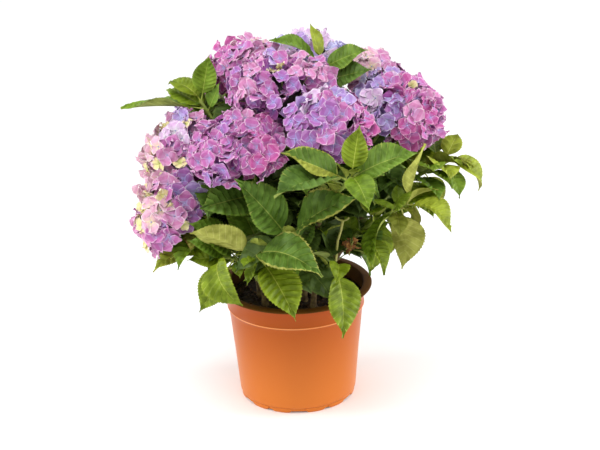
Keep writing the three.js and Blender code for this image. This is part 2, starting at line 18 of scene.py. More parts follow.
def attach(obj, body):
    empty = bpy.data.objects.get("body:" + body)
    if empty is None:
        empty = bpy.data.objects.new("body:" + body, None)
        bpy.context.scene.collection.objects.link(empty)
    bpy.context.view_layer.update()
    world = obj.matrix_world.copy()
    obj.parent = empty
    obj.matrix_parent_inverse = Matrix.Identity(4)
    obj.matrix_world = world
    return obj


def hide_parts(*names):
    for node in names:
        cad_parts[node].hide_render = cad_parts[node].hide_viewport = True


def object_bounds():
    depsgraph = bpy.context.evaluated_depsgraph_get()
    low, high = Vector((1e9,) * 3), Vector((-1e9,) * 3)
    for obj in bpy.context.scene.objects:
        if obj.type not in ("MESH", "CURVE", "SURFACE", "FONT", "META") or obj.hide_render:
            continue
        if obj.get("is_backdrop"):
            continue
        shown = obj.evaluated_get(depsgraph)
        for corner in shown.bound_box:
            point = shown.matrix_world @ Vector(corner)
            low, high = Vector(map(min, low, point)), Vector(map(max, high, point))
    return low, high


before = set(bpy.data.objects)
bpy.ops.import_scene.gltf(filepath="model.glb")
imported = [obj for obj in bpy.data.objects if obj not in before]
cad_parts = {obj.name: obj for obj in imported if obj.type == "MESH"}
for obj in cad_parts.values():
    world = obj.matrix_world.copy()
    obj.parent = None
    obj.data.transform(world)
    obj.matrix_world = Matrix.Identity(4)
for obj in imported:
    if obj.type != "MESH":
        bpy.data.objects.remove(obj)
cad_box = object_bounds()
MM = 0.001
print("solid nodes:", len(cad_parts))

# %% [markdown]
# ## The camera
# The pot's lip shows how far the photograph looks down on it, and the way its sides narrow shows how
# far away the lens was. A long lens from 2.6 m gives the same flat, calm perspective. It aims at the
# middle of the plant, and is rolled by the small angle at which the pot leans in the picture.

# %% Place the camera
IMAGE_WIDTH = 600
SENSOR_WIDTH = 36
FOCAL_PIXELS = 1753
LOOKS_DOWN = 21.3
ROLL = -1.6
DISTANCE = 2600
AIM = np.array([9.5, 0, 268])
UP = np.array([0, 0, 1.0])
rad = math.radians


def unit(vector):
    """The same direction at length 1."""
    return vector / np.linalg.norm(vector)


def stand(name, data, place, axes):
    """Adds an object at a place in metres, with its own axes along three directions."""
    thing = bpy.data.objects.new(name, data)
    turn = Matrix(np.column_stack(axes).tolist()).to_4x4()
    thing.matrix_world = Matrix.Translation(place) @ turn
    bpy.context.scene.collection.objects.link(thing)
    return thing


ahead = np.array([0, math.cos(rad(LOOKS_DOWN)), -math.sin(rad(LOOKS_DOWN))])
level_right = np.array([1.0, 0, 0])
level_up = np.cross(level_right, ahead)
right = level_right * math.cos(rad(ROLL)) + level_up * math.sin(rad(ROLL))
up = level_up * math.cos(rad(ROLL)) - level_right * math.sin(rad(ROLL))

camera_data = bpy.data.cameras.new("photo_camera")
camera_data.sensor_width = SENSOR_WIDTH
camera_data.lens = SENSOR_WIDTH * FOCAL_PIXELS / IMAGE_WIDTH
camera = stand("photo_camera", camera_data, (AIM - ahead * DISTANCE) * MM, [right, up, -ahead])
bpy.context.scene.camera = camera
print("lens:", round(camera_data.lens, 1), "mm")

# %% [markdown]
# ## Colours and nodes
# Hex colours are written as the eye sees them on a screen. Blender mixes light in linear values, so
# one function turns the one into the other. Another adds a node with its settings and links, which
# keeps each material short enough to read.

# %% Colour and node helpers
# How far light spreads inside a thin sepal, in millimetres, and the share of it for red, green and blue
GLOW_DEPTH = 2
GLOW_SHARES = (1.0, 0.7, 0.9)
# The values of a noise between which a mottled surface goes from one tone to the other
TONE_ENDS = (0.36, 0.64)


def channels(hex_colour):
    """Red, green and blue of a hex colour, from 0 to 255."""
    return np.array([int(hex_colour[i : i + 2], 16) for i in (1, 3, 5)])


def between(first, second, share):
    """The hex colour that lies a share of the way from the first to the second."""
    mixed = channels(first) + (channels(second) - channels(first)) * share
    return "#" + "".join(f"{round(c):02x}" for c in mixed)


def drift(colour, width):
    """Two tones a little below and above a colour."""
    return between(colour, "#000000", width), between(colour, "#ffffff", width * 0.4)


def paint(hex_colour):
    """An sRGB hex colour as linear red, green, blue and alpha."""
    parts = [c / 255 for c in channels(hex_colour)]
    return (*[c / 12.92 if c <= 0.04045 else ((c + 0.055) / 1.055) ** 2.4 for c in parts], 1.0)


def add_node(tree, kind, inputs=None):
    """Adds a node and fills its inputs with values or links."""
    node = tree.nodes.new(kind)
    for name, value in (inputs or {}).items():
        socket = node.inputs[name]
        if isinstance(value, bpy.types.NodeSocket):
            tree.links.new(value, socket)
        else:
            socket.default_value = value
    return node


def new_material(name, roughness, ior=1.45, gloss=0.5, glow=0.0):
    """An empty non-metal material and its shader, with the values that are the same all over."""
    material = bpy.data.materials.new(name)
    material.use_nodes = True
    shader = material.node_tree.nodes["Principled BSDF"]
    shader.inputs["Roughness"].default_value = roughness
    shader.inputs["IOR"].default_value = ior
    shader.inputs["Specular IOR Level"].default_value = gloss
    shader.inputs["Subsurface Weight"].default_value = glow
    shader.inputs["Subsurface Radius"].default_value = GLOW_SHARES
    shader.inputs["Subsurface Scale"].default_value = GLOW_DEPTH * MM
    return material, shader


def noise(tree, place, size, detail):
    """Noise at a place, with blotches about so many millimetres wide."""
    inputs = {"Vector": place, "Scale": 1 / (size * MM), "Detail": detail}
    return add_node(tree, "ShaderNodeTexNoise", inputs).outputs["Fac"]


def grained(name, grain, depth, *finish):
    """A material with a fine relief in millimetres, its node tree, and the place on the object."""
    material, shader = new_material(name, *finish)
    tree = material.node_tree
    place = add_node(tree, "ShaderNodeTexCoord").outputs["Object"]
    relief = {"Height": noise(tree, place, grain, 4.0), "Distance": depth * MM, "Strength": 1.0}
    bump = add_node(tree, "ShaderNodeBump", relief)
    tree.links.new(bump.outputs["Normal"], shader.inputs["Normal"])
    return material, tree, place


def tone_ramp(tree, value, colours, ends):
    """Takes the base colour from one tone to another as a value goes from one end to the other."""
    ramp = add_node(tree, "ShaderNodeValToRGB", {"Fac": value})
    for stop, end, colour in zip(ramp.color_ramp.elements, ends, colours):
        stop.position, stop.color = end, paint(colour)
    tree.links.new(ramp.outputs["Color"], tree.nodes["Principled BSDF"].inputs["Base Color"])


def mottled(name, colours, spot, grain, depth, *finish):
    """A surface that drifts between close tones in spots, over a fine relief, both in millimetres."""
    material, tree, place = grained(name, grain, depth, *finish)
    tone_ramp(tree, noise(tree, place, spot, 3.0), colours, TONE_ENDS)
    return material


print("helpers ready")

# %% [markdown]
# ## Building meshes
# The plant has about seven hundred leaves and twice as many florets. Each is a small grid of points
# that a formula bends into place. Making one object for each would be slow, so the grids are gathered
# first and then joined, each kind apart, into a few large meshes.

# %% Mesh helpers
def build_piece(name, parts, materials, nodes=(), sharp=None):
    """Joins parts, each (points in mm, faces, material of each face), into one object on the body."""
    counts = [len(points) for points, _, _ in parts]
    starts = np.concatenate([[0], np.cumsum(counts)[:-1]])
    corners, totals, slots = [], [], []
    for (_, faces, shades), start in zip(parts, starts):
        corners.append((faces + start).ravel())
        totals.append(np.full(len(faces), faces.shape[1]))
        slots.append(np.broadcast_to(shades, len(faces)))
    totals = np.concatenate(totals)
    mesh = bpy.data.meshes.new(name)
    mesh.vertices.add(sum(counts))
    mesh.vertices.foreach_set("co", np.concatenate([p for p, _, _ in parts]).ravel() * MM)
    mesh.loops.add(int(totals.sum()))
    mesh.loops.foreach_set("vertex_index", np.concatenate(corners))
    mesh.polygons.add(len(totals))
    mesh.polygons.foreach_set("loop_start", np.concatenate([[0], np.cumsum(totals)[:-1]]))
    mesh.polygons.foreach_set("material_index", np.concatenate(slots))
    mesh.update(calc_edges=True)
    mesh.shade_smooth()
    if sharp:
        mesh.set_sharp_from_angle(angle=rad(sharp))
    for material in materials:
        mesh.materials.append(material)
    piece = bpy.data.objects.new(name, mesh)
    bpy.context.scene.collection.objects.link(piece)
    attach(piece, "root")
    if nodes:
        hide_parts(*nodes)
    print(name, "has", int((totals - 2).sum()), "triangles")
    return piece


def grid_faces(rows, columns, closed=False):
    """The faces of a grid of points, which may close on itself sideways."""
    row, column = np.meshgrid(np.arange(rows - 1), np.arange(columns - (not closed)), indexing="ij")
    beside = (column + 1) % columns
    corners = [row * columns + column, row * columns + beside]
    corners += [(row + 1) * columns + beside, (row + 1) * columns + column]
    return np.stack([c.ravel() for c in corners], axis=1)


def tube(centres, sides_at, radii, shade, sides):
    """A tube through centres. sides_at gives the two directions across it, for each one or for all."""
    angle = np.linspace(0, 2 * math.pi, sides, endpoint=False)
    across, over = [np.broadcast_to(side, centres.shape) for side in sides_at]
    radii = np.array(radii, dtype=float)
    if radii.ndim == 1:
        radii = radii[:, None]
    radii = np.broadcast_to(radii, (len(centres), sides))[..., None]
    ring = np.cos(angle)[None, :, None] * across[:, None] + np.sin(angle)[None, :, None] * over[:, None]
    points = (centres[:, None] + radii * ring).reshape(-1, 3)
    return points, grid_faces(len(centres), sides, closed=True), shade


def knob(root, way, across, rings, shade, sides):
    """A small closed knob along a way, from rings that each give a distance and a radius."""
    distances, radii = np.array(rings, dtype=float).T
    return tube(root + way * distances[:, None], across, radii, shade, sides)


def lathe(profile, sides, shades):
    """A surface turned about the Z axis from [radius, height] points, with a material for each band."""
    angle = np.linspace(0, 2 * math.pi, sides, endpoint=False)
    profile = np.array(profile, dtype=float)
    ring = np.stack([np.sin(angle), -np.cos(angle)], axis=1)
    flat = profile[:, None, 0, None] * ring[None]
    heights = np.broadcast_to(profile[:, None, 1, None], (len(profile), sides, 1))
    points = np.concatenate([flat, heights], axis=2).reshape(-1, 3)
    faces = grid_faces(len(profile), sides, closed=True)
    return points, faces, np.repeat(shades, sides)


print("mesh helpers ready")

# %% [markdown]
# ## The growth rule
# The solids follow a simple rule of growth, and the same rule is written again here. Every shoot
# rises from the soil, bends outwards and ends in a flower head or a leafy tip. Its leaves stand in
# opposite pairs, each pair a quarter turn from the last. The random numbers come from a seed, so the
# rule gives the same leaves as in the solids. The shoots' places are the ones that the photograph
# shows, with the hidden side filled in.

# %% Sizes of the plant and its pot, in millimetres
POT_HEIGHT = 178
LIP_RADIUS = 115
LIP_THICKNESS = 3
BAND_HEIGHT = 33
BAND_STEP = 1.6
WALL = 2
WALL_RADIUS = 104
STEP_RADIUS = 100.5
BASE_RADIUS = 88
BASE_ROUND = 5
FOOT_HEIGHT = 6
FOOT_RADIUS = 86
FOOT_WALL = 4
FEET = 6
SOIL_TOP = 161
SOIL_EDGE = 157
SOIL_PLATEAU = 74

GAP = 0.3
CANE_FOOT_RADIUS = 4.6
CANE_FLARE = 1.5
CANE_TOP_RADIUS = 3.2
STEM_TIP_RADIUS = 2.3
INNER_FOOT = 10
OUTER_FOOT = 64
FOOT_SPACING = 15
FOOT_ROUNDS = 80
HIGHEST = 510
LOWEST = 260
LEAN_PIVOT = 235
CANE_UPRIGHT = 0.36
CANE_LEANING = 0.3
SHORTEST_CANE = 0.12

# How far from the pot's axis the leaves of the rule may reach at each height
CROWN = np.array([
    [165, 105], [200, 140], [240, 172], [280, 205], [330, 232],
    [400, 248], [470, 228], [520, 170], [550, 90],
])

LEAF_LENGTH = 104
LEAF_WIDTH = 0.64
LEAF_FOLD = 16
PETIOLE_LENGTH = 22
PETIOLE_SHARE = 0.18
PETIOLE_RADIUS = 1.5
FIRST_NODE = 9
NEXT_NODE = 16
LAST_NODE = 12
PAIR_SPACING = 36
PAIR_GROWTH = [0.6, 0.95, 1.06, 1, 0.9]
PAIR_RISE = [62, 34, 20, 8, 0]
PAIR_DROOP = [25, 50, 62, 72, 80]
VARY_SPACING = 0.16
VARY_LENGTH = 0.24
VARY_ANGLE = 24
VARY_RISE = 14
VARY_DROOP = 24
VARY_ROLL = 34

HEAD_DEPTH = 0.72
STALK_LENGTH = 24
STALK_SUNK = 0.2
GOLDEN_ANGLE = 137.508

# Ways to try a leaf: its swing round the stem, its extra rise and its share of the full size
LEAF_TRIES = [
    (0, 0, 1), (20, 0, 1), (-20, 0, 1), (0, 16, 0.92), (0, -16, 0.92), (36, 6, 0.86), (-36, 6, 0.86),
    (16, -24, 0.78), (-16, 24, 0.78), (44, 22, 0.8), (-44, 22, 0.8), (0, 34, 0.76),
    (24, 34, 0.7), (-24, 34, 0.7),
]

# Ways to try a leaf that shows: how far its tip moves in azimuth and height
SHOWN_TRIES = [
    (0, 0), (0, 6), (0, -6), (2, 0), (-2, 0), (0, 12), (0, -12), (4, 0), (-4, 0),
    (3, 10), (-3, 10), (3, -10), (-3, -10),
]
print("ways to try a leaf:", len(LEAF_TRIES), "and where it shows:", len(SHOWN_TRIES))

# %% The shoots: name, azimuth, reach, height, width of the head (0 is a leafy tip), pairs, first turn
SHOOTS = [
    ("top_front", -17, 33, 484, 148, 4, 20),
    ("front_left", -32, 135, 430, 138, 4, 80),
    ("left_upper", -98, 180, 393, 116, 4, 60),
    ("left_lower", -79, 192, 306, 118, 4, 0),
    ("top_left", -141, 104, 487, 112, 4, 45),
    ("top_back", 161, 106, 487, 118, 4, 90),
    ("top_right", 126, 152, 461, 108, 4, 30),
    ("right", 88, 155, 445, 144, 4, 70),
    ("front_right", 25, 116, 455, 126, 4, 10),
    ("back_upper", 180, 176, 420, 130, 4, 50),
    ("back_right", 142, 200, 352, 124, 4, 15),
    ("back_left", -138, 196, 372, 132, 4, 75),
    ("back_lower", -172, 198, 300, 116, 3, 35),
    ("tip_front_right", 23, 209, 412, 0, 4, 65),
    ("tip_front", -2, 155, 306, 0, 3, 50),
    ("tip_front_left", -21, 161, 279, 0, 2, 20),
    ("tip_front_low", 24, 153, 259, 0, 2, 20),
    ("tip_left", -45, 147, 262, 0, 2, 80),
    ("tip_right", 63, 185, 326, 0, 3, 30),
    ("tip_right_upper", 86, 225, 369, 0, 4, 70),
    ("tip_left_upper", -105, 136, 455, 0, 4, 10),
    ("tip_top", 122, 56, 512, 0, 4, 85),
]

# %% The leaves that show: distance down the stem, azimuth, reach and height of the tip, droop, roll, look
SHOWN_LEAVES = {
    "tip_front_right": [
        (3, 27, 205, 480, 5, 42, "spring"),
        (4, 22, 272, 384, 80, 10, "fresh"),
        (16, 43, 250, 440, 35, 30, "middle"),
        (17, -4, 197, 455, 10, -25, "folded"),
    ],
    "tip_front": [
        (4, -24, 192, 418, 20, -55, "pleated"),
        (11, 25, 214, 380, 50, 30, "rolled"),
    ],
    "tip_front_left": [
        (4, 10, 214, 272, 100, 20, "rolled"),
        (13, -42, 215, 322, 40, 55, "olive"),
        (25, 0, 208, 206, 35, 5, "spring"),
    ],
    "tip_left": [
        (4, -24, 182, 213, 130, 60, "spring"),
        (27, -53, 175, 178, 5, -40, "spring"),
        (18, -54, 186, 292, 25, -40, "middle"),
        (34, -52, 190, 328, 30, -40, "middle"),
    ],
    "tip_front_low": [
        (3, 17, 197, 253, 95, -15, "spring"),
        (14, 19, 196, 168, 45, -30, "spring"),
    ],
    "tip_right": [
        (3, 68, 204, 416, 5, -35, "bright"),
        (7, 62, 253, 302, 105, 0, "bright"),
        (13, 39, 175, 254, 75, 38, "fresh"),
        (13, 65, 172, 223, 70, 15, "olive"),
    ],
    "tip_right_upper": [
        (3, 97, 248, 394, 30, 15, "bright"),
        (4, 89, 274, 316, 100, 25, "bright"),
        (11, 78, 246, 322, 70, -10, "fresh"),
    ],
    "tip_left_upper": [
        (3, -111, 124, 520, 10, 48, "fresh"),
        (8, -114, 198, 473, 80, -5, "spring"),
        (16, -99, 252, 443, 18, 12, "fresh"),
        (21, -105, 104, 484, 5, 55, "middle"),
    ],
    "tip_top": [
        (3, 145, 57, 562, 5, 15, "bright"),
        (12, -130, 36, 546, 60, -10, "middle"),
        (15, 97, 115, 530, 25, 35, "middle"),
        (33, 86, 118, 501, 5, 40, "deep"),
    ],
    "left_lower": [
        (20, -73, 214, 230, 25, -10, "bright"),
        (25, -59, 196, 243, 65, 10, "fresh"),
        (15, -57, 177, 257, 60, 5, "bronzed"),
    ],
    "front_left": [(36, -38, 208, 360, 10, -45, "pleated")],
}

# Leaves that show but had no room in the solids, in the same form
PRESSED_LEAVES = {
    "tip_right_upper": [
        (4, 84, 262, 352, 85, -20, "bright"),
        (20, 88, 268, 352, 70, -15, "bright"),
        (26, 82, 262, 372, 60, -25, "bright"),
        (30, 76, 252, 378, 55, -30, "spring"),
        (34, 66, 244, 368, 60, -25, "bright"),
        (44, 72, 240, 345, 70, -20, "fresh"),
        (50, 62, 226, 384, 40, -10, "fresh"),
        (60, 66, 228, 335, 60, -20, "middle"),
    ],
    "tip_right": [
        (20, 57, 200, 320, 60, -20, "olive"),
        (24, 52, 190, 290, 70, -10, "olive"),
        (8, 70, 222, 345, 60, -30, "bright"),
    ],
    "tip_left": [(40, -62, 176, 250, 40, -30, "spring")],
    "left_lower": [(40, -66, 196, 252, 40, -20, "bright")],
    "tip_left_upper": [
        (24, -116, 205, 454, 50, -10, "young"),
        (14, -119, 178, 441, 55, -25, "middle"),
    ],
}
print("shoots with leaves that show:", len(SHOWN_LEAVES))

# %% [markdown]
# ## From the rule to lines
# A shoot's line is a curve of four points: it leaves the soil upright and arrives at its head leaning
# outwards. Blender could draw it as a curve object, but the leaves must know their exact place along
# it, so the curve is worked out here, with lengths measured in 200 steps.

# %% Lines of the shoots
STEPS = np.linspace(0, 1, 201)


def seeded(seed):
    """Repeatable random numbers between 0 and 1."""
    state = (seed * 7919 + 104729) % 2**32

    def draw():
        nonlocal state
        state = (state * 1664525 + 1013904223) % 2**32
        return state / 2**32

    return draw


def outwards(azimuth):
    """The direction outwards from the pot's axis, from the front (-Y) towards the right (+X)."""
    return np.array([math.sin(rad(azimuth)), -math.cos(rad(azimuth)), 0])


def curve_points(controls, t):
    """Points on a cubic curve."""
    t = np.asarray(t, dtype=float)[..., None]
    a, b, c, d = controls
    return (1 - t) ** 3 * a + 3 * (1 - t) ** 2 * t * b + 3 * (1 - t) * t**2 * c + t**3 * d


def curve_ways(controls, t):
    """Directions along a cubic curve."""
    t = np.asarray(t, dtype=float)[..., None]
    a, b, c, d = controls
    way = (1 - t) ** 2 * (b - a) + 2 * (1 - t) * t * (c - b) + t**2 * (d - c)
    return way / np.linalg.norm(way, axis=-1, keepdims=True)


class Shoot:
    """One shoot with its line, from its foot in the soil to its head or tip."""

    def __init__(self, row, seed):
        self.name, self.azimuth, self.reach, self.height, self.head, self.pairs, self.turn = row
        self.seed = seed
        lowness = min(max((HIGHEST - self.height) / (HIGHEST - LOWEST), 0), 1)
        self.foot = outwards(self.azimuth) * (INNER_FOOT + (OUTER_FOOT - INNER_FOOT) * lowness)

    def settle(self):
        """Works out the line and where the cane, leafy stem and stalk end along it."""
        end = outwards(self.azimuth) * self.reach + UP * self.height
        foot = self.foot + UP * (SOIL_TOP + GAP)
        lean = unit(end - UP * LEAN_PIVOT)
        length = np.linalg.norm(end - foot)
        rising = foot + UP * length * CANE_UPRIGHT
        arriving = end - lean * length * CANE_LEANING
        self.controls = np.array([foot, rising, arriving, end])
        stops = curve_points(self.controls, STEPS)
        self.lengths = np.concatenate([[0], np.cumsum(np.linalg.norm(np.diff(stops, axis=0), axis=1))])
        self.total = self.lengths[-1]
        in_head = self.head * 0.5 * HEAD_DEPTH * (1 - STALK_SUNK)
        self.leafy_to = 1 - (in_head + STALK_LENGTH) / self.total if self.head else 1
        shown = [row[0] + NEXT_NODE for row in SHOWN_LEAVES.get(self.name, [])]
        self.start = max([FIRST_NODE, *shown])
        leafy = self.start + (self.pairs - 1) * PAIR_SPACING + LAST_NODE
        self.leafy_from = max(self.leafy_to - leafy / self.total, SHORTEST_CANE)

    def at(self, along):
        """Point, way, below and side at shares of the line, each an array of directions."""
        t = np.interp(np.asarray(along) * self.total, self.lengths, STEPS)
        way = curve_ways(self.controls, t)
        level = np.array([math.cos(rad(self.azimuth)), math.sin(rad(self.azimuth)), 0])
        below = np.cross(np.broadcast_to(level, way.shape), way)
        below /= np.linalg.norm(below, axis=-1, keepdims=True)
        return curve_points(self.controls, t), way, below, np.cross(way, below)

    def below_end(self, down):
        """The same at a distance in mm below the leafy end."""
        return self.at(self.leafy_to - down / self.total)


shoots = [Shoot(row, i + 1) for i, row in enumerate(SHOOTS)]
# Feet that stand too near each other give way in small steps
for _ in range(FOOT_ROUNDS):
    for i, shoot in enumerate(shoots):
        for other in shoots[:i]:
            apart = shoot.foot - other.foot
            short = FOOT_SPACING - np.linalg.norm(apart)
            if short > 0:
                push = unit(apart) * short / 2
                shoot.foot = shoot.foot + push
                other.foot = other.foot - push
for shoot in shoots:
    shoot.settle()
print("shoots:", len(shoots), "longest:", round(max(s.total for s in shoots)), "mm")

# %% [markdown]
# ## Where the leaves hang
# A leaf is an arc that leaves its stem along a heading and bends away from it by its droop. Each leaf
# was tried in a few ways in the solids until it touched no neighbour. The same ways are tried here,
# and the right one is the one whose tip is a corner of the solid mass.

# %% Shapes of the leaves
# The points on a leaf's outer half that must keep in the crown, and how far a tip may be off its corner
OUTER_SHARES = np.array([0.5, 0.75, 1])
CORNER_REACH = 0.2


def turned(vector, axis, angle):
    """A vector turned about an axis by degrees."""
    axis = unit(axis)
    c, s = math.cos(rad(angle)), math.sin(rad(angle))
    return vector * c + np.cross(axis, vector) * s + axis * np.dot(axis, vector) * (1 - c)


def across_of(heading, roll):
    """A level direction square to the heading, turned about it by a roll."""
    return turned(unit(np.cross(heading, UP)), heading, roll)


def blade_at(root, shape, share):
    """The middle of a leaf at shares of its length, and the way up from it."""
    heading, across, droop, length, petiole = shape
    full = length + petiole
    above = np.cross(across, heading)
    bend = rad(droop)
    angle = bend * np.asarray(share, dtype=float)[..., None]
    point = root + heading * full * np.sin(angle) / bend - above * full * (1 - np.cos(angle)) / bend
    return point, above * np.cos(angle) + heading * np.sin(angle)


def shape_to_tip(root, tip, droop, roll):
    """The shape of a leaf whose tip is given: heading, across, droop, length and petiole."""
    chord = tip - root
    half = rad(droop) / 2
    full = np.linalg.norm(chord) * half / math.sin(half)
    heading = unit(chord)
    across = across_of(heading, roll)
    heading = turned(heading, across, droop / 2)
    return heading, across, droop, full * (1 - PETIOLE_SHARE), full * PETIOLE_SHARE


def heading_of(place, angle, rise):
    """The way a leaf sets out, from its angle round the stem and its rise along it."""
    _, way, below, side = place
    level = below * math.cos(rad(angle)) + side * math.sin(rad(angle))
    return unit(level * math.cos(rad(rise)) + way * math.sin(rad(rise)))


def leaves_crown(root, shape, margin=0.0):
    """Whether the outer half of a leaf would stand out of the crown, less a margin."""
    points, _ = blade_at(root, shape, OUTER_SHARES)
    outside = (points[:, 2] < CROWN[0, 0]) | (points[:, 2] >= CROWN[-1, 0])
    limit = np.interp(points[:, 2], CROWN[:, 0], CROWN[:, 1]) - margin
    return bool((outside | (np.hypot(points[:, 0], points[:, 1]) > limit)).any())


def tree_of(points):
    """A tree that finds points by their place."""
    tree = KDTree(len(points))
    for i, point in enumerate(points):
        tree.insert(point, i)
    tree.balance()
    return tree


def first_match(corners, root, shapes):
    """The first shape whose tip is a corner of the solid, or None where no leaf had room."""
    for shape in shapes:
        tip = blade_at(root, shape, 1)[0] * MM
        if corners.find(tip)[2] < CORNER_REACH * MM:
            return shape
    return None


print("leaf shapes ready")

# %% Find every leaf of the solids
def shapes_to_row(shoot, row, tries):
    """The root of a leaf of a table, and its shape for each way of moving its tip."""
    down, azimuth, reach, height, droop, roll, _ = row
    root = shoot.below_end(down)[0]
    tips = [outwards(azimuth + swing) * reach + UP * (height + lift) for swing, lift in tries]
    return root, [shape_to_tip(root, tip, droop, roll) for tip in tips]


def shapes_of_rule(place, angle, rise, droop, roll, length, petiole=PETIOLE_LENGTH, margin=0.0):
    """The shapes of a leaf for each way to try it that stays in the crown."""
    for swing, lift, size in LEAF_TRIES:
        heading = heading_of(place, angle + swing, rise + lift)
        shape = (heading, across_of(heading, roll), droop, length * size, petiole)
        if not leaves_crown(place[0], shape, margin):
            yield shape


def rule_leaves(shoot, corners):
    """The leaves that the rule gives a shoot and that had room."""
    random = seeded(shoot.seed)

    def vary(width):
        return (random() - 0.5) * width

    first = 1 if shoot.head or shoot.name in SHOWN_LEAVES else 0
    for pair in range(shoot.pairs):
        age = min(pair + first, len(PAIR_RISE) - 1)
        place = shoot.below_end(shoot.start + PAIR_SPACING * pair * (1 + vary(VARY_SPACING)))
        for opposite in (0, 180):
            angle = shoot.turn + 90 * pair + opposite + vary(VARY_ANGLE)
            rise = PAIR_RISE[age] + vary(VARY_RISE)
            droop = PAIR_DROOP[age] + vary(VARY_DROOP)
            roll = vary(VARY_ROLL)
            length = LEAF_LENGTH * PAIR_GROWTH[age] * (1 + vary(VARY_LENGTH))
            shape = first_match(corners, place[0], shapes_of_rule(place, angle, rise, droop, roll, length))
            if shape:
                yield place[0], shape


leaves = []
missing = 0
for shoot in shoots:
    corners = tree_of([corner.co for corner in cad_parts["leaves_" + shoot.name].data.vertices])
    for row in SHOWN_LEAVES.get(shoot.name, []):
        root, shapes = shapes_to_row(shoot, row, SHOWN_TRIES)
        shape = first_match(corners, root, shapes)
        missing += shape is None
        if shape:
            leaves.append((shoot, root, shape, row[-1]))
    for root, shape in rule_leaves(shoot, corners):
        leaves.append((shoot, root, shape, None))
print("leaves of the solids:", len(leaves), "not found:", missing)
for shoot in shoots:
    for row in PRESSED_LEAVES.get(shoot.name, []):
        root, shapes = shapes_to_row(shoot, row, [(0, 0)])
        leaves.append((shoot, root, shapes[0], row[-1]))

# %% [markdown]
# ## Leaves that fill the bush
# The solids hold only as many leaves as fit without touching. A real bush is denser: leaves press
# together and small ones stand in the joints of the older ones. So the places that had no room get a
# leaf after all, more pairs stand lower on the stems, and every tip ends in a pair that unfolds. They
# keep to the same crown, out of the flower heads, off the pot and away from the few openings that the
# photograph shows: sky at the left, an old stalk, a dry flower and the inside of the pot's lip. Leaves
# of the rule that would hide one of these are left out.

# %% Where the flower heads and the leaves that show are
# How near a filling leaf may come to one that shows: beside it in millimetres, and before it in pixels
SHOWN_GAP = 7
HIDES = 5
# How near one may come before an opening, in pixels, and how near a leaf of the solids may
OPENING = 12
NARROW_OPENING = 6
# How much of a head's ellipsoid is closed to leaves, the room along the wall and its height above it,
# and the height and radius within which the soil stays bare
HEAD_CORE = 0.95
WALL_ROOM = 15
ABOVE_WALL = 3
OPEN_SOIL = (222, 120)
# How much further out than a leaf that shows a floret may stand in front of it
FURTHER_OUT = 4
# The share of a leaf's whole length from which its blade is tested for room
BLADE_START = 0.28
# How far two heads at the left are moved to close the column of flowers that the photograph shows
HEAD_NUDGES = {"left_upper": (14, -8, -9), "left_lower": (5, -1, 5)}
# Where an old cut stalk forks, and where the dry remains of a flower head hang, both low at the right
OLD_STALK = np.array([[63, -80, 273], [71, -80, 304], [60, -82, 311], [80, -82, 309]], dtype=float)
DRY_SEPALS = np.array([82, -75, 262], dtype=float)
INNER_RIM = np.array([[80, 28, 182], [92, 8, 182], [97, -12, 182]], dtype=float)
# Places that the photograph shows open, as steps right, up and ahead from its middle: three of sky beside
# the left heads, one of flowers between them and the front head, and three of other leaves
OPEN_PLACES = np.array([
    [-223, 177, 250], [-213, 187, 250], [-203, 192, 250],
    [-162, 88, 0],
    [-120, 183, -38], [130, 49, -108], [178, 78, -78],
], dtype=float)


def seen_at(points):
    """Where points show in the picture, in pixels from its middle, and how far away they are."""
    away = points - (AIM - ahead * DISTANCE)
    depth = away @ ahead
    return np.stack([away @ right, away @ up, 0 * depth], axis=-1) * FOCAL_PIXELS / depth[:, None], depth


def head_space(shoot):
    """The middle, directions and half sizes of the ellipsoid that a flower head fills."""
    point, way, below, side = shoot.at(1.0)
    half = shoot.head / 2
    return point, np.array([below, side, way]), np.array([half, half, half * HEAD_DEPTH])


def half_width(share, length):
    """Half of a leaf's width at a share of its length: round at the base and drawn out to a point."""
    share = np.clip(share, 0, 1)
    return 0.5 * LEAF_WIDTH * length * np.sin(math.pi * share**0.75) ** (0.8 + 0.8 * share**3)


def blade_cloud(root, shape, stations=8):
    """Points spread over a leaf's blade: along its middle, halfway out and on its edges."""
    length, petiole = shape[3], shape[4]
    shares = np.linspace(BLADE_START, 1, stations)
    middle, _ = blade_at(root, shape, shares)
    out = half_width((shares * (length + petiole) - petiole) / length, length)[:, None] * shape[1]
    return np.concatenate([middle + out * side for side in (-1, -0.5, 0, 0.5, 1)])


heads = {shoot.name: head_space(shoot) for shoot in shoots if shoot.head}
for name, nudge in HEAD_NUDGES.items():
    heads[name][0][:] += nudge
shown_cloud = np.concatenate([blade_cloud(root, shape, 12) for _, root, shape, look in leaves if look])
shown_tree = tree_of(shown_cloud)
seen_shown, shown_depths = seen_at(shown_cloud)
open_places = AIM + OPEN_PLACES @ np.array([right, up, ahead])
seen_open, open_depths = seen_at(np.concatenate([OLD_STALK, DRY_SEPALS[None], INNER_RIM, open_places]))
shown_view, open_view = tree_of(seen_shown), tree_of(seen_open)
print("flower heads:", len(heads), "points on leaves that show:", len(shown_cloud))


# %% Room for a leaf
def stands_before(points, tree, depths, reach):
    """Whether points stand before others in the photograph's view, within a reach in pixels."""
    places, near = seen_at(points)
    for place, depth in zip(places, near):
        if any(depth < depths[i] for _, i, _ in tree.find_range(place, reach)):
            return True
    return False


def in_opening(root, shape, reach=OPENING):
    """Whether a leaf hides the old stalk, the dry sepals, the inside of the lip or a place that is open."""
    return stands_before(blade_cloud(root, shape), open_view, open_depths, reach)


def touches_shown(points, gap, front):
    """Whether points touch a leaf that shows, or press close in front of it."""
    for point in points:
        radius = math.hypot(point[0], point[1])
        for corner, _, distance in shown_tree.find_range(point, front):
            if distance < gap or radius > math.hypot(corner[0], corner[1]) + FURTHER_OUT:
                return True
    return False


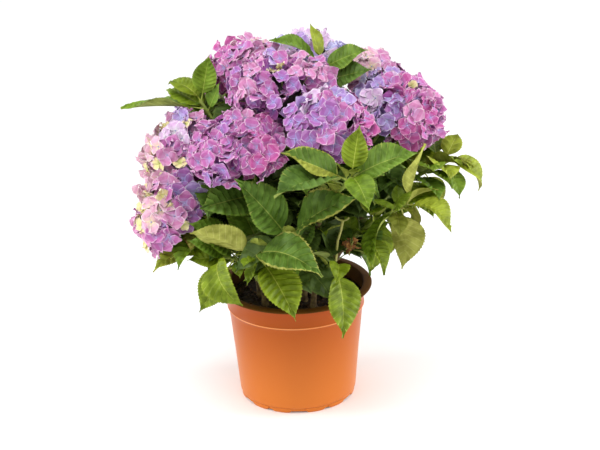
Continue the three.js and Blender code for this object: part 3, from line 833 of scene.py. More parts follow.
def has_room(root, shape):
    """Whether a leaf keeps out of the heads, the soil and the pot's wall, and off the leaves that show."""
    points = blade_cloud(root, shape)
    for centre, axes, halves in heads.values():
        if (np.sum(((points - centre) @ axes.T / halves) ** 2, axis=1) < HEAD_CORE).any():
            return False
    radius, height = np.hypot(points[:, 0], points[:, 1]), points[:, 2]
    on_wall = (height < POT_HEIGHT + ABOVE_WALL) & (np.abs(radius - WALL_RADIUS) < WALL_ROOM)
    over_soil = (height < OPEN_SOIL[0]) & (radius < OPEN_SOIL[1])
    if on_wall.any() or over_soil.any() or in_opening(root, shape):
        return False
    if any(shown_tree.find(point)[2] < SHOWN_GAP for point in points):
        return False
    return not stands_before(points, shown_view, shown_depths, HIDES)


solid_leaves = len(leaves)
leaves = [leaf for leaf in leaves if leaf[3] or not in_opening(*leaf[1:3], NARROW_OPENING)]
print("leaves left out before an opening:", solid_leaves - len(leaves))

# %% Add the filling leaves
# The leaves of a pair: swing, length, rise, droop, roll and petiole, a range where chance draws it
PAIRS = {
    "grown": [(-25, 25), (62, 96), (10, 50), (35, 85), (-25, 25), (16, 26)],
    "small": [(-30, 30), (26, 46), 45, 30, (-30, 30), 8],
    "at_tip": [(-15, 15), (24, 38), 72, 25, (-20, 20), 5],
}
# How far they keep inside the crown: on a shoot with a head, on a leafy one, which may reach out of it,
# and where they are small
HEAD_MARGIN = 8
TIP_MARGIN = -14
SMALL_MARGIN = 4
# Where the first pair stands, as a share of the way to the rule's first, and how far apart the next are
FIRST_SHARE = 0.6
PAIR_STEP = (20, 30)
# How much of the cane stays bare, how far down leaves are smallest, and by how much
BARE_FOOT = 12
FULLY_LOW = 150
LOW_SHRINKS = 0.25
FROM_TIP = 1.5
FILLING_SEED = 100


def leaf_pair(place, kind, turn, rng, size=1.0, margin=0.0):
    """Two opposite leaves, each in the first way that finds room, or None."""
    for opposite in (0, 180):
        values = [rng.uniform(*value) if isinstance(value, tuple) else value for value in PAIRS[kind]]
        swing, length, rise, droop, roll, petiole = values
        leaf = (turn + opposite + swing, rise, droop, roll, length * size, petiole, margin)
        fitting = (shape for shape in shapes_of_rule(place, *leaf) if has_room(place[0], shape))
        yield place[0], next(fitting, None), None if kind == "grown" else "young"


def filling(shoot, rng):
    """Leaves of one shoot that the solids leave out: on the stem, down the cane and at the tip."""
    down, turn = shoot.start * FIRST_SHARE, shoot.turn + 45
    while down < shoot.leafy_to * shoot.total - BARE_FOOT:
        place = shoot.below_end(down)
        size = 1 - LOW_SHRINKS * min(1.0, down / FULLY_LOW)
        yield from leaf_pair(place, "grown", turn, rng, size, HEAD_MARGIN if shoot.head else TIP_MARGIN)
        yield from leaf_pair(place, "small", turn + 90, rng, margin=SMALL_MARGIN)
        down += rng.uniform(*PAIR_STEP)
        turn += 90
    if not shoot.head:
        yield from leaf_pair(shoot.below_end(FROM_TIP), "at_tip", shoot.turn + 90, rng)


for shoot in shoots:
    rng = np.random.default_rng(FILLING_SEED + shoot.seed)
    leaves += [(shoot, *leaf) for leaf in filling(shoot, rng) if leaf[1]]
print("leaves in all:", len(leaves))

# %% [markdown]
# ## Leaf colours
# A hydrangea's leaf has a smooth waxy cuticle above, which gives a soft broad shine, and is paler and
# downy below. Old leaves inside the bush are deep green, and they and the leaves low at the front are
# painted darker still, as painted shade. Young ones at the tips and low down on the bright side are
# yellow-green. Each leaf takes one look for its whole blade, so every colour stays with its leaf. The
# tones drift a little in spots the size of a fingertip, over a fine cell relief.

# %% Leaf finishes: upper side, midrib, margin and underside
# The shade and deep looks are darker greens: painted shade for leaves inside the bush and below the front
# heads
LEAF_LOOKS = {
    "spring": ("#70860c", "#a9b440", "#7f9214", "#949e36"),
    "fresh": ("#688712", "#9dae40", "#74911e", "#8c9c3c"),
    "bright": ("#909f20", "#c2c65a", "#a0aa2e", "#b0b44a"),
    "young": ("#749016", "#a6b442", "#81991e", "#939e36"),
    "middle": ("#60811d", "#97a742", "#6b8b21", "#919e42"),
    "deep": ("#4f7020", "#869842", "#597722", "#86943c"),
    "shade": ("#465d20", "#70813a", "#4e6422", "#748136"),
    "folded": ("#4f6e1a", "#9ca642", "#9da536", "#949e3c"),
    "rolled": ("#557620", "#9dab4a", "#a2a644", "#a2a84a"),
    "pleated": ("#52741e", "#92a446", "#618221", "#8b9940"),
    "olive": ("#868d2c", "#b6b65a", "#949a34", "#a2a444"),
    "bronzed": ("#7f8626", "#aaa84e", "#8c6c2e", "#97913c"),
}
# How many columns of one side of the blade take the paler margin colour as painted light, where that half
# turns to the light
LIT_HALF_COLUMNS = {"folded": 3}
# Width of the spots, width and depth of the cells, and how far the tones drift
SPOT = 14
CELL = 1.6
CELL_DEPTH = 0.25
DRIFT = 0.21
CUTICLE_IOR = 1.42
CUTICLE_GLOSS = 0.22

leaf_materials = []
leaf_slots = {}
for look, (upper, rib, margin, under) in LEAF_LOOKS.items():
    finishes = [("waxy_cuticle", upper, 0.42), ("side_vein", between(upper, rib, 0.3), 0.42)]
    finishes += [("midrib", rib, 0.5), ("margin", margin, 0.4), ("downy_underside", under, 0.75)]
    for finish, colour, roughness in finishes:
        leaf_slots[look, finish] = len(leaf_materials)
        relief = (SPOT, CELL, CELL_DEPTH)
        coat = (roughness, CUTICLE_IOR, CUTICLE_GLOSS)
        leaf_materials.append(mottled(f"leaf_{finish}_{look}", drift(colour, DRIFT), *relief, *coat))
print("leaf finishes:", len(leaf_materials))

# %% [markdown]
# ## One leaf
# The blade is a grid whose rows run along its side veins, from the midrib slanting forward to the
# edge. That makes three things easy: the veins are narrow pale rows, the blade swells up between them,
# and the edge steps in and out into forward-pointing teeth. A second, simpler sheet closes it from
# below, so that the downy side shows where a leaf turns over.

# %% The grid of a leaf
# Depth of the teeth, height of the swelling between veins and of the waves at the edge, and half the
# midrib's width, all for a leaf of 100 mm but the first, which is a share of its half width
TOOTH = 0.035
SWELL = 5.5
WAVES = (1.2, 4.6)
RIB_WIDTH = 0.9
# How the fold of a leaf varies in degrees, and the rings of its petiole and its radius at the blade
FOLDS = (-6, 6)
PETIOLE_RINGS = 5
PETIOLE_END = 0.9
# Where the first side vein leaves the midrib, the share that all of them take, and how far each slants
FIRST_VEIN = 0.06
VEINED = 0.81
SLANT = 0.17
UPPER_COLUMNS = np.array([-1, -0.91, -0.48, 0, 0, 0.48, 0.91, 1])
UPPER_SIDES = np.array([-1, -1, -1, -1, 1, 1, 1, 1])
LOWER_COLUMNS = np.array([-1, -0.5, 0, 0.5, 1])


class LeafGrid:
    """Rows across half a leaf: start on the midrib, end on the edge, tooth, swelling, and vein or not."""

    def __init__(self, side_veins):
        gap = VEINED / side_veins
        rows = [(0, 0, 0, 0, 0), (0.015, 0.06, 0, 0.3, 0)]
        rows += [(0.03, 0.13, 1, 0.5, 0), (0.036, 0.145, -1, 0.5, 0)]
        for k in range(side_veins):
            start = FIRST_VEIN + gap * k
            end = start + SLANT * (1 - 0.4 * start)
            rows += [(start - 0.006, end - 0.004, 1, 0, 1), (start + 0.006, end + 0.006, -1, 0, 0)]
            rows += [(start + 0.48 * gap, end + 0.44 * gap, 0.8, 1, 0)]
            rows += [(start + 0.54 * gap, end + 0.52 * gap, -1, 1, 0)]
        rows += [(0.87, 0.955, 0.7, 0.5, 0), (0.94, 0.98, 0, 0.2, 0), (1, 1, 0, 0, 0)]
        self.start, self.end, self.tooth, self.swell, self.vein = np.array(rows, dtype=float).T[..., None]
        self.upper = grid_faces(len(rows), len(UPPER_COLUMNS))
        self.lower = grid_faces(len(rows), len(LOWER_COLUMNS))[:, ::-1]
        sheets = [(look, underside) for look in LEAF_LOOKS for underside in (0, 1)]
        self.finishes = {sheet: self.face_finishes(*sheet) for sheet in sheets}

    def face_finishes(self, look, underside):
        """The material of each face of the upper or lower sheet."""
        columns = len(LOWER_COLUMNS if underside else UPPER_COLUMNS) - 1
        body = leaf_slots[look, "downy_underside" if underside else "waxy_cuticle"]
        shades = np.full((len(self.start) - 1, columns), body)
        veins = self.vein[:-1, 0] > 0
        if underside:
            shades[veins] = leaf_slots[look, "midrib"]
            return shades.ravel()
        shades[np.ix_(veins, [1, 2, 4, 5])] = leaf_slots[look, "side_vein"]
        shades[:, -1] = leaf_slots[look, "margin"]
        # Painted light: one half of the blade may take the paler margin colour
        shades[:, : LIT_HALF_COLUMNS.get(look, 1)] = leaf_slots[look, "margin"]
        shades[:, 3] = leaf_slots[look, "midrib"]
        return shades.ravel()


# Leaves shorter than this, and those in the shade, take the plain grid
PLAIN_LENGTH = 50
fine_grid = LeafGrid(side_veins=8)
plain_grid = LeafGrid(side_veins=4)


def blade_sheet(grid, root, shape, columns, sides, character, underside):
    """The points of a leaf's upper or lower sheet."""
    length, petiole = shape[3], shape[4]
    fold, waves, phases = character
    aside = np.abs(columns)[None]
    edge = aside > 0.99
    tooth = np.where(edge, grid.tooth, 0)
    rib = RIB_WIDTH * (1 - 0.75 * grid.start) * length / 100
    width = np.maximum(half_width(grid.end, length) * (1 + TOOTH * tooth), 0.5)
    out = np.where(aside > 0, rib + aside * (width - rib), 0 if underside else rib)
    along = grid.start + (grid.end - grid.start) * aside + 0.005 * tooth
    lateral = out * sides
    # The edge waves, the blade swells up between its veins, and both halves fold up from the midrib
    phase = np.where(sides > 0, phases[0], phases[1])
    lift = waves * aside**2.6 * np.sin(2 * math.pi * (1.3 * along + phase)) * length / 100
    if underside:
        lift = lift - 0.6 * (1 - aside)
    else:
        lift = lift + SWELL * grid.swell * np.minimum(aside * 2.4, 1) * (1.06 - aside**4) * length / 100
    lift = lift + out * math.tan(rad(fold))
    point, normal = blade_at(root, shape, (petiole + along * length) / (petiole + length))
    return (point + lateral[..., None] * shape[1] + lift[..., None] * normal).reshape(-1, 3)


def leaf_parts(root, shape, look, rng):
    """The upper sheet, lower sheet and petiole of one leaf."""
    grid = plain_grid if shape[3] < PLAIN_LENGTH or look == "shade" else fine_grid
    character = (LEAF_FOLD + rng.uniform(*FOLDS), rng.uniform(*WAVES), rng.uniform(0, 1, 2))
    sheets = [(UPPER_COLUMNS, UPPER_SIDES, grid.upper), (LOWER_COLUMNS, np.sign(LOWER_COLUMNS), grid.lower)]
    for underside, (columns, sides, faces) in enumerate(sheets):
        points = blade_sheet(grid, root, shape, columns, sides, character, underside)
        yield points, faces, grid.finishes[look, underside]
    shares = np.linspace(0, 1.03, PETIOLE_RINGS) * shape[4] / (shape[3] + shape[4])
    centres, normals = blade_at(root, shape, shares)
    radii = np.linspace(PETIOLE_RADIUS, PETIOLE_END, PETIOLE_RINGS) * min(1, 0.5 + shape[3] / 160)
    yield tube(centres, (shape[1], normals), radii, leaf_slots[look, "midrib"], 6)


print("faces of a leaf:", [len(grid.upper) + len(grid.lower) for grid in (fine_grid, plain_grid)])

# %% [markdown]
# ## The foliage
# A leaf of the rule gets its look from where it hangs: deep green well inside the crown and low at the
# front, painted darker there as painted shade, fresher towards the outside and yellow-green low down on
# the sunny side. The leaves are then joined into a few large pieces, each standing for the masses of
# its own side of the bush.

# %% Join the leaves
# How far out in the crown the shaded leaves end and the half shaded ones, and how much that wanders
SHADED = 0.5
HALF_SHADED = 0.7
WANDER = 0.12
# Below this height the front stands in the shade of the heads and takes darker looks as painted shade,
# and the far right is young and bright
BELOW_HEADS = 440
BRIGHT_BELOW = 400
BRIGHT_FROM = 60
FOLIAGE_SEED = 7


def look_of(root, shape, rng):
    """The look of a leaf of the rule, from how deep in the crown it hangs."""
    middle = blade_at(root, shape, 0.7)[0]
    limit = np.interp(middle[2], CROWN[:, 0], CROWN[:, 1])
    depth = math.hypot(middle[0], middle[1]) / limit + rng.uniform(-WANDER, WANDER)
    # Deep in the crown and low at the front the looks are darker: painted shade
    if depth < SHADED:
        return "shade"
    if depth < HALF_SHADED:
        looks = "shade deep middle deep"
    elif middle[2] < BELOW_HEADS and middle[1] < -abs(middle[0]):
        looks = "deep shade"
    elif middle[2] < BRIGHT_BELOW and middle[0] > BRIGHT_FROM:
        looks = "fresh spring young middle bright"
    else:
        looks = "deep middle pleated fresh middle young"
    looks = looks.split()
    return looks[rng.integers(len(looks))]


SIDES_OF_BUSH = {"front": (-60, 60), "right": (60, 130), "back": (130, 230), "left": (230, 300)}


def side_of(shoot):
    """The side of the bush that a shoot grows on."""
    for side, (low, high) in SIDES_OF_BUSH.items():
        if low <= (shoot.azimuth + 60) % 360 - 60 < high:
            return side


rng = np.random.default_rng(FOLIAGE_SEED)
foliage = {side: [] for side in SIDES_OF_BUSH}
for shoot, root, shape, look in leaves:
    look = look or look_of(root, shape, rng)
    foliage[side_of(shoot)] += leaf_parts(root, shape, look, rng)
for side, parts in foliage.items():
    masses = ["leaves_" + shoot.name for shoot in shoots if side_of(shoot) == side]
    build_piece("foliage_" + side, parts, leaf_materials, masses)

# %% [markdown]
# ## Canes and green stems
# Old canes are woody: pale brown bark with fine lengthwise ridges, a swelling at each old leaf joint
# and a flare where they enter the soil. This year's stems are smooth and green. Both are tubes along
# the shoot's line. The ridges are real relief in the tube, because a bump map would leave the outline
# smooth.

# %% Finishes of the canes
# Brown bark whose tones are painted darker than pale brown, as painted shade inside the bush
bark = mottled("ridged_cane_bark", ("#4c3a20", "#7f6c44"), 9, 1.2, 0.5, 0.85)
green_stem = mottled("smooth_green_stem", ("#6f7f31", "#93a24a"), 7, 1.0, 0.15, 0.5)
bud_scale = mottled("dry_bud_scale", ("#5a3b22", "#8a5f35"), 3, 0.8, 0.2, 0.7)
print("cane finishes:", bark.name, green_stem.name, bud_scale.name)


# %% Build the canes and stems
# One ring of points each few millimetres, how far apart the joints of old wood are, and none at all
RING_STEP = 3
CANE_JOINT = 42
NO_JOINTS = 500
# How much thicker a joint is and over what length, and how deep bark and green stems are grooved
JOINT_SWELLING = 0.3
JOINT_LENGTH = 3
BARK_GROOVES = 0.07
STEM_GROOVES = 0.02
# Resting buds: the first one's distance below the leafy stem and the last one's above the soil, how
# far from the shoot's line they start, how steeply they rise, and the distance and radius of each ring
FIRST_BUD = 18
LAST_BUD = 20
BUD_OUT = 3
BUD_RISE = 55
BUD_RINGS = [(0, 1.4), (2, 1.9), (4.5, 1.3), (7, 0.2)]
# How far a cane's flare is sunk in the soil
FLARE_SUNK = 6
# How far below the middle of its head a stalk stops, and its radius there
STALK_STOPS = 8
STALK_TIP_RADIUS = 1.6
CANE_SIDES = 12
STEM_SIDES = 10
STALK_SIDES = 8


def limb_part(shoot, start, end, radii, sides, joint, ridge, seed):
    """A limb along part of a shoot's line, with joints every so many millimetres and fine ridges."""
    rng = np.random.default_rng(seed)
    rings = max(6, int((end - start) * shoot.total / RING_STEP))
    share = np.linspace(0, 1, rings)
    along = start + (end - start) * share
    centres, _, below, side = shoot.at(along)
    from_end = (shoot.leafy_to - along) * shoot.total - shoot.start
    nearest = np.abs((from_end + joint / 2) % joint - joint / 2)
    swelling = JOINT_SWELLING * np.exp(-((nearest / JOINT_LENGTH) ** 2))
    radius = np.interp(share, [0, 1], radii) * (1 + swelling)
    grooves = 1 + ridge * rng.uniform(-1, 1, sides)[None] + ridge * 0.5 * rng.uniform(-1, 1, (rings, sides))
    return tube(centres, (below, side), radius[:, None] * grooves, 0, sides)


def cane_foot(shoot):
    """The flare at a cane's foot, which runs a little way into the soil."""
    centres, _, below, side = shoot.at(np.array([0, 0.001, 4 / shoot.total, 9 / shoot.total]))
    centres[0] -= UP * FLARE_SUNK
    flare = np.array([CANE_FLARE + 1, CANE_FLARE, 0.5, 0])
    return tube(centres, (below, side), CANE_FOOT_RADIUS + flare, 0, CANE_SIDES)


def cane_buds(shoot):
    """Small resting buds in pairs on the old joints."""
    joints = np.arange(shoot.leafy_from * shoot.total - FIRST_BUD, LAST_BUD, -CANE_JOINT)
    for i, distance in enumerate(joints):
        place = shoot.at(distance / shoot.total)
        for opposite in (0, 180):
            angle = shoot.turn + 90 * i + opposite
            way = heading_of(place, angle, BUD_RISE)
            root = place[0] + heading_of(place, angle, 0) * BUD_OUT
            beside = unit(np.cross(way, UP))
            yield knob(root, way, (beside, np.cross(way, beside)), BUD_RINGS, 1, 6)


canes, stems = [], []
for shoot in shoots:
    woody = (0, shoot.leafy_from, (CANE_FOOT_RADIUS, CANE_TOP_RADIUS))
    leafy = (shoot.leafy_from, shoot.leafy_to, (CANE_TOP_RADIUS, STEM_TIP_RADIUS))
    canes.append(limb_part(shoot, *woody, CANE_SIDES, CANE_JOINT, BARK_GROOVES, shoot.seed))
    canes += [cane_foot(shoot), *cane_buds(shoot)]
    stems.append(limb_part(shoot, *leafy, STEM_SIDES, PAIR_SPACING, STEM_GROOVES, shoot.seed + 50))
    if shoot.head:
        stalk_end = 1 - STALK_STOPS / shoot.total
        stalk = (shoot.leafy_to, stalk_end, (STEM_TIP_RADIUS, STALK_TIP_RADIUS))
        stems.append(limb_part(shoot, *stalk, STALK_SIDES, NO_JOINTS, STEM_GROOVES, shoot.seed + 90))
cane_nodes = ["cane_" + shoot.name for shoot in shoots]
build_piece("canes", canes, [bark, bud_scale], cane_nodes)
build_piece("green_stems", stems, [green_stem])

# %% [markdown]
# ## Flower heads
# What look like petals on a mophead are four coloured sepals round a tiny bead of a bud. A head packs
# about a hundred of these florets over a dome, at two depths, each on its own thin stalk. Their colours
# run from violet to pink on one plant, as they do where the soil is neither sour nor sweet. Each sepal
# is blue-white near the bead, deepest in the middle and pale at its rim.

# %% Sepal colours: near the bead, body and rim
TINTS = {
    "orchid": ("#b6b2e0", "#b767a3", "#e0b8d5"),
    "mauve": ("#acace0", "#a264a8", "#d6b4d8"),
    "lilac": ("#c4caec", "#a888c6", "#dccfec"),
    "magenta": ("#bca0d4", "#b95595", "#e0aacb"),
    "rose": ("#d6bce0", "#c67fac", "#e8c4d9"),
    "blush": ("#ded8a6", "#d8a6bc", "#f0dce0"),
    "blue": ("#d4ddf0", "#b4acdc", "#e6e2f4"),
    "pearl": ("#dfe0de", "#d0aed2", "#ecdfee"),
    "cream": ("#d2d886", "#e8dca0", "#f4e4cc"),
    # A darker copy of the violets for florets of the inner shell: painted shade
    "shaded_violet": ("#8272b0", "#964c92", "#c080b8"),
}
# The paler tint that florets on top of a head may take: painted light from the sky above
SKY_LIT_TINTS = {
    "orchid": "rose", "mauve": "lilac", "magenta": "orchid",
    "lilac": "pearl", "rose": "blush", "blue": "pearl",
}
# For each head: tints from its left side to its right, share of young cream florets, and share of inner
# florets in the darker tint of painted shade
HEAD_LOOKS = {
    "top_front": ("orchid mauve orchid mauve orchid mauve orchid orchid", 0.01, 0.5),
    "front_left": ("orchid orchid mauve orchid orchid magenta orchid", 0.01, 0.6),
    "left_upper": ("blush rose orchid lilac orchid lilac", 0.16, 0),
    "left_lower": ("rose blush rose orchid mauve lilac", 0.16, 0.1),
    "top_left": ("magenta orchid rose orchid rose", 0.01, 0.3),
    "top_back": ("pearl blue lilac pearl blue", 0.02, 0),
    "top_right": ("rose blush rose orchid", 0.02, 0.1),
    "right": ("blue lilac lilac mauve orchid magenta magenta orchid", 0.01, 0.5),
    "front_right": ("mauve lilac mauve mauve orchid mauve orchid magenta", 0.01, 0.7),
    "back_upper": ("orchid lilac magenta pearl", 0.04, 0.3),
    "back_right": ("rose magenta orchid blush", 0.04, 0.3),
    "back_left": ("lilac orchid mauve rose", 0.04, 0.3),
    "back_lower": ("blush rose lilac pearl", 0.1, 0.2),
}
# Young cream florets also stand together at one place of the front head, within this cosine of it
CREAM_PLACE = {"top_front": unit(np.array([-0.31, -0.56, 0.76]))}
CREAM_PATCH = 0.95
PETAL_SPOT = 6
SEPAL_RELIEF = (PETAL_SPOT, 1.2, 0.15)
# Roughness, refraction, gloss and glow of a thin velvety sepal
SEPAL_FINISH = (0.55, 1.4, 0.12, 0.4)

flower_materials = []
tint_slots = {}
for tint, (eye, body, rim) in TINTS.items():
    tint_slots[tint] = len(flower_materials)
    zones = {"eye": between(body, eye, 0.75), "inner": between(body, eye, 0.3), "body": body}
    zones |= {"outer": between(body, rim, 0.3), "rim": between(body, rim, 0.95)}
    for zone, colour in zones.items():
        tones = drift(colour, 0.07)
        flower_materials.append(mottled(f"sepal_{zone}_{tint}", tones, *SEPAL_RELIEF, *SEPAL_FINISH))
extra = {"stalk": ("#8a9650", "#a3aa66"), "shadow": ("#2c2229", "#3b322a"), "bead": ("#9a96cc", "#bcb9de")}
for name, tones in extra.items():
    tint_slots[name] = len(flower_materials)
    flower_materials.append(mottled(f"floret_{name}", tones, PETAL_SPOT, 1.0, 0.1, 0.6))
print("sepal finishes:", len(flower_materials))

# %% One floret
SEPAL_LENGTH = 15.8
SEPAL_WIDTH = 0.6
SEPAL_ROWS = np.array([0.05, 0.17, 0.4, 0.66, 0.92, 1.0])[:, None]
SEPAL_COLUMNS = np.array([-1, -0.85, -0.5, 0, 0.5, 0.85, 1])[None]
WIDTH_AT = [0, 0.17, 0.4, 0.55, 0.66, 0.92, 1]
SEPAL_OUTLINE = np.interp(SEPAL_ROWS, WIDTH_AT, [0.14, 0.66, 1.0, 0.98, 0.84, 0.3, 0.03])
SEPAL_FACES = grid_faces(SEPAL_ROWS.size, SEPAL_COLUMNS.size)
# How far a sepal laps over the next, how ragged, ruffled and keeled it is, and how deep a floret cups
LAP = 0.16
RAGGED = 0.12
RUFFLE = 3.3
KEEL = 0.34
DEEPEST_CUP = 0.75
# The bead in the middle of a floret: distance and radius of each ring
BEAD_RINGS = [(-0.3, 0.7), (0.7, 1.3), (1.6, 1.0), (2.1, 0.2)]
BEAD_SIDES = 5
# A floret's own stalk: its radius, and the share of the way from the hub of the head where it starts
THIN_STALK = 0.7
THIN_SIDES = 3
STALK_START = 0.35
# What chance varies in a sepal: length, width, curl of the tip, keel and ruffles
LENGTHS = (0.88, 1.1)
WIDTHS = (0.92, 1.1)
CURLS = (-0.25, 0.12)
KEELS = (-0.3, 1)
RUFFLES = (0.3, 1.1)


def sepal_zones():
    """The zone of each face of a sepal, from the eye over the body to the thin rim."""
    zones = np.repeat([0, 1, 2, 3, 4], SEPAL_COLUMNS.size - 1).reshape(-1, SEPAL_COLUMNS.size - 1)
    zones[1:, [0, -1]] = 4
    return zones.ravel()


SEPAL_ZONES = sepal_zones()


def sepal(middle, axes, angle, size, cup, rng):
    """One pointed sepal that leaves the middle at an angle: cupped, ruffled and lapped over the next."""
    side, other, facing = axes
    radial = side * math.cos(rad(angle)) + other * math.sin(rad(angle))
    lateral = np.cross(facing, radial)
    length = size * rng.uniform(*LENGTHS)
    along, aside = SEPAL_ROWS, SEPAL_COLUMNS
    ripple = np.sin(2 * math.pi * (2.3 * along + 0.37 * aside + rng.uniform()))
    notches = 1 + RAGGED * np.abs(aside) * ripple
    out = aside * SEPAL_OUTLINE * length * SEPAL_WIDTH * rng.uniform(*WIDTHS) * notches
    # It rises like a cup, curls at its tip, laps over the next one, folds at its keel and ruffles
    rise = length * (cup * along + (rng.uniform(*CURLS) - 0.5 * cup) * along**2)
    rise = rise + LAP * out + KEEL * rng.uniform(*KEELS) * np.abs(out) * (1.2 - 0.6 * along)
    waves = np.sin(2 * math.pi * (0.9 * aside + 1.5 * along + rng.uniform()))
    rise = rise + RUFFLE * rng.uniform(*RUFFLES) * waves * along * aside**2
    reach = length * along * (1 - 0.05 * aside**2)
    flat = reach[..., None] * radial + out[..., None] * lateral
    return (middle + flat + rise[..., None] * facing).reshape(-1, 3)


def floret(middle, facing, hub, size, tint, rng):
    """A floret's four sepals, its bead and its thin stalk from the hub of the head."""
    side = unit(np.cross(facing, UP if abs(facing[2]) < 0.9 else level_right))
    axes = (side, np.cross(facing, side), facing)
    twist = rng.uniform(0, 90)
    cup = rng.uniform(0, DEEPEST_CUP)
    slot = tint_slots[tint]
    for k in range(4):
        angle = twist + 90 * k + rng.uniform(-8, 8)
        yield sepal(middle, axes, angle, size, cup, rng), SEPAL_FACES, slot + SEPAL_ZONES
    bead = tint_slots["cream" if tint == "cream" else "bead"]
    yield knob(middle, facing, axes[:2], BEAD_RINGS, bead, BEAD_SIDES)
    ends = np.array([hub + (middle - hub) * STALK_START, middle - facing * 0.2])
    yield tube(ends, axes[:2], THIN_STALK, tint_slots["stalk"], THIN_SIDES)


other_faces = (len(BEAD_RINGS) - 1) * BEAD_SIDES + THIN_SIDES
print("faces of a floret:", 4 * len(SEPAL_FACES) + other_faces)

# %% [markdown]
# ## Packing the heads
# The florets follow a golden-angle spiral, which spreads points evenly over a dome, as it spreads
# seeds in a sunflower. Each one is then nudged, tilted and sunk a little by chance, and leans towards
# the open side of the bush. Where two heads press together each gives way along a flat plane between
# them, as in the solids.

# %% Build the flower heads
# Room for each floret in square millimetres, and how far down from its top a head is covered in
# degrees, with what a deeper head has more
FLORET_AREA = 385
HEAD_SPREAD = 118
DEEPER_SPREAD = 22
# How some heads differ from their solids: height, size of the florets, and depth of the lower half
FLATTER = {"front_left": 0.7, "front_right": 0.92, "right": 0.88}
BIGGER = {"left_lower": 1.24, "left_upper": 1.12}
DEEPER = {"left_upper": 1.5, "left_lower": 1.55, "top_front": 1.12}
# Share of a head's size and of its florets for each shell, and how far the inner one is turned
SHELLS = [(0.97, 1.0), (0.82, 0.55)]
SHELL_TURN = 40
# The spread of a floret's place on its shell, its depth, its tilt, its size and its tint
SCATTER = 0.05
DEPTHS = (-0.1, 0.05)
TILT = math.tan(rad(44)) * 0.6
SIZES = (0.8, 1.18)
TINT_SPREAD = 0.12
CREAM_SIZE = 0.62
# How far florets keep from the plane between two heads
HEAD_GAP = 4.5
HEAD_SEED = 300
# Where a head's stalks meet below its middle, and the size of its dark heart
HUB_DEPTH = 0.6
HEART_SIZE = 0.66
# The exponent of Thomsen's formula for the area of an ellipsoid
AREA_POWER = 1.6
# Which way the florets of some heads lean, towards the open side that shows
LEANING = {
    "top_back": (0, -0.7, 0.4), "top_right": (0.1, -0.4, 0.3), "left_upper": (-0.3, -0.5, 0),
    "right": (-0.2, -0.5, 0.2), "top_left": (-0.1, -0.5, 0.2), "top_front": (0, -0.3, 0.1),
    "front_left": (0, -0.35, 0.1), "front_right": (0, -0.3, 0.1), "left_lower": (-0.15, -0.3, 0),
}
# How often a floret at the very top of a head is painted paler, as painted light from the sky
SKY_LIT_SHARE = 0.6
# How close to a leaf that shows, and how close in front of one, a floret is left out
LEAF_GAP = 12
LEAF_FRONT = 22


def squash_of(name):
    """How much a head is flattened in each world direction."""
    return np.array([1, 1, FLATTER.get(name, 1)])


def pressed_planes(name):
    """Planes where a head presses on its neighbours: a direction and a distance from its middle."""
    point, axes, halves = heads[name]
    for other, (far_point, far_axes, far_halves) in heads.items():
        if other == name:
            continue
        distance = np.linalg.norm(far_point - point)
        direction = (far_point - point) / distance
        near = np.linalg.norm(axes @ (direction * squash_of(name)) * halves)
        far = np.linalg.norm(far_axes @ (direction * squash_of(other)) * far_halves)
        if near + far > distance:
            yield direction, distance * near / (near + far)


def tint_of(name, place, rng):
    """The tint of a floret from its place in the head: left to right, with young ones among them."""
    tints, young, _ = HEAD_LOOKS[name]
    tints = tints.split()
    if name in CREAM_PLACE and np.dot(unit(place), CREAM_PLACE[name]) > CREAM_PATCH:
        return "cream"
    if rng.uniform() < young * (1 - unit(place)[0]):
        return "cream"
    wander = 0.1 * math.sin(place[2] / 13 + place[1] / 17)
    share = 0.5 + 0.5 * place[0] / np.linalg.norm(place) + wander + rng.uniform(-TINT_SPREAD, TINT_SPREAD)
    tint = tints[int(np.clip(share, 0, 0.999) * len(tints))]
    # Florets on top may be painted paler: painted light from the sky
    if rng.uniform() < SKY_LIT_SHARE * unit(place)[2]:
        return SKY_LIT_TINTS.get(tint, tint)
    return tint


def head_area(halves):
    """The area of a whole head's ellipsoid."""
    level, upright = halves[0] ** (2 * AREA_POWER), (halves[0] * halves[2]) ** AREA_POWER
    return 4 * math.pi * (level / 3 + 2 * upright / 3) ** (1 / AREA_POWER)


def spiral(shoot, rng):
    """The direction of each floret from a head's middle, its share of the way out, and its shell."""
    lowest = 1 - math.cos(rad(HEAD_SPREAD + DEEPER_SPREAD * (shoot.name in DEEPER)))
    for shell, density in SHELLS:
        count = int(head_area(heads[shoot.name][2]) * density * lowest / 2 / FLORET_AREA)
        for i in range(count):
            polar = math.acos(1 - (i + 0.5) / count * lowest)
            around = rad(i * GOLDEN_ANGLE + shoot.turn + SHELL_TURN * density)
            level = math.sin(polar)
            ball = np.array([math.cos(around) * level, math.sin(around) * level, math.cos(polar)])
            ball = unit(ball + rng.normal(0, SCATTER, 3))
            yield ball, shell + rng.uniform(*DEPTHS), density


def head_parts(shoot):
    """All the florets of a head at two depths, over a dark heart."""
    rng = np.random.default_rng(HEAD_SEED + shoot.seed)
    name = shoot.name
    centre, axes, halves = heads[name]
    planes = list(pressed_planes(name))
    flatter = squash_of(name)
    lean = np.array(LEANING.get(name, (0, 0, 0)))
    hub = centre - axes[2] * halves[2] * HUB_DEPTH
    for ball, depth, density in spiral(shoot, rng):
        sizes = halves * depth
        sizes[2] *= DEEPER.get(name, 1) if ball[2] < 0 else 1
        place = (ball * sizes) @ axes * flatter
        if any(np.dot(place, direction) > distance - HEAD_GAP for direction, distance in planes):
            continue
        if touches_shown([centre + place], LEAF_GAP, LEAF_FRONT):
            continue
        outward = unit((ball / halves) @ axes / flatter)
        facing = unit(outward + lean + rng.normal(0, TILT, 3))
        tint = tint_of(name, place, rng)
        # Inner florets may take the darker tint, as painted shade
        if density < 1 and rng.uniform() < HEAD_LOOKS[name][2]:
            tint = "shaded_violet"
        size = SEPAL_LENGTH * rng.uniform(*SIZES) * BIGGER.get(name, 1)
        size *= CREAM_SIZE if tint == "cream" else 1
        yield from floret(centre + place, facing, hub, size, tint, rng)
    yield heart(centre, axes, halves * HEART_SIZE, flatter)


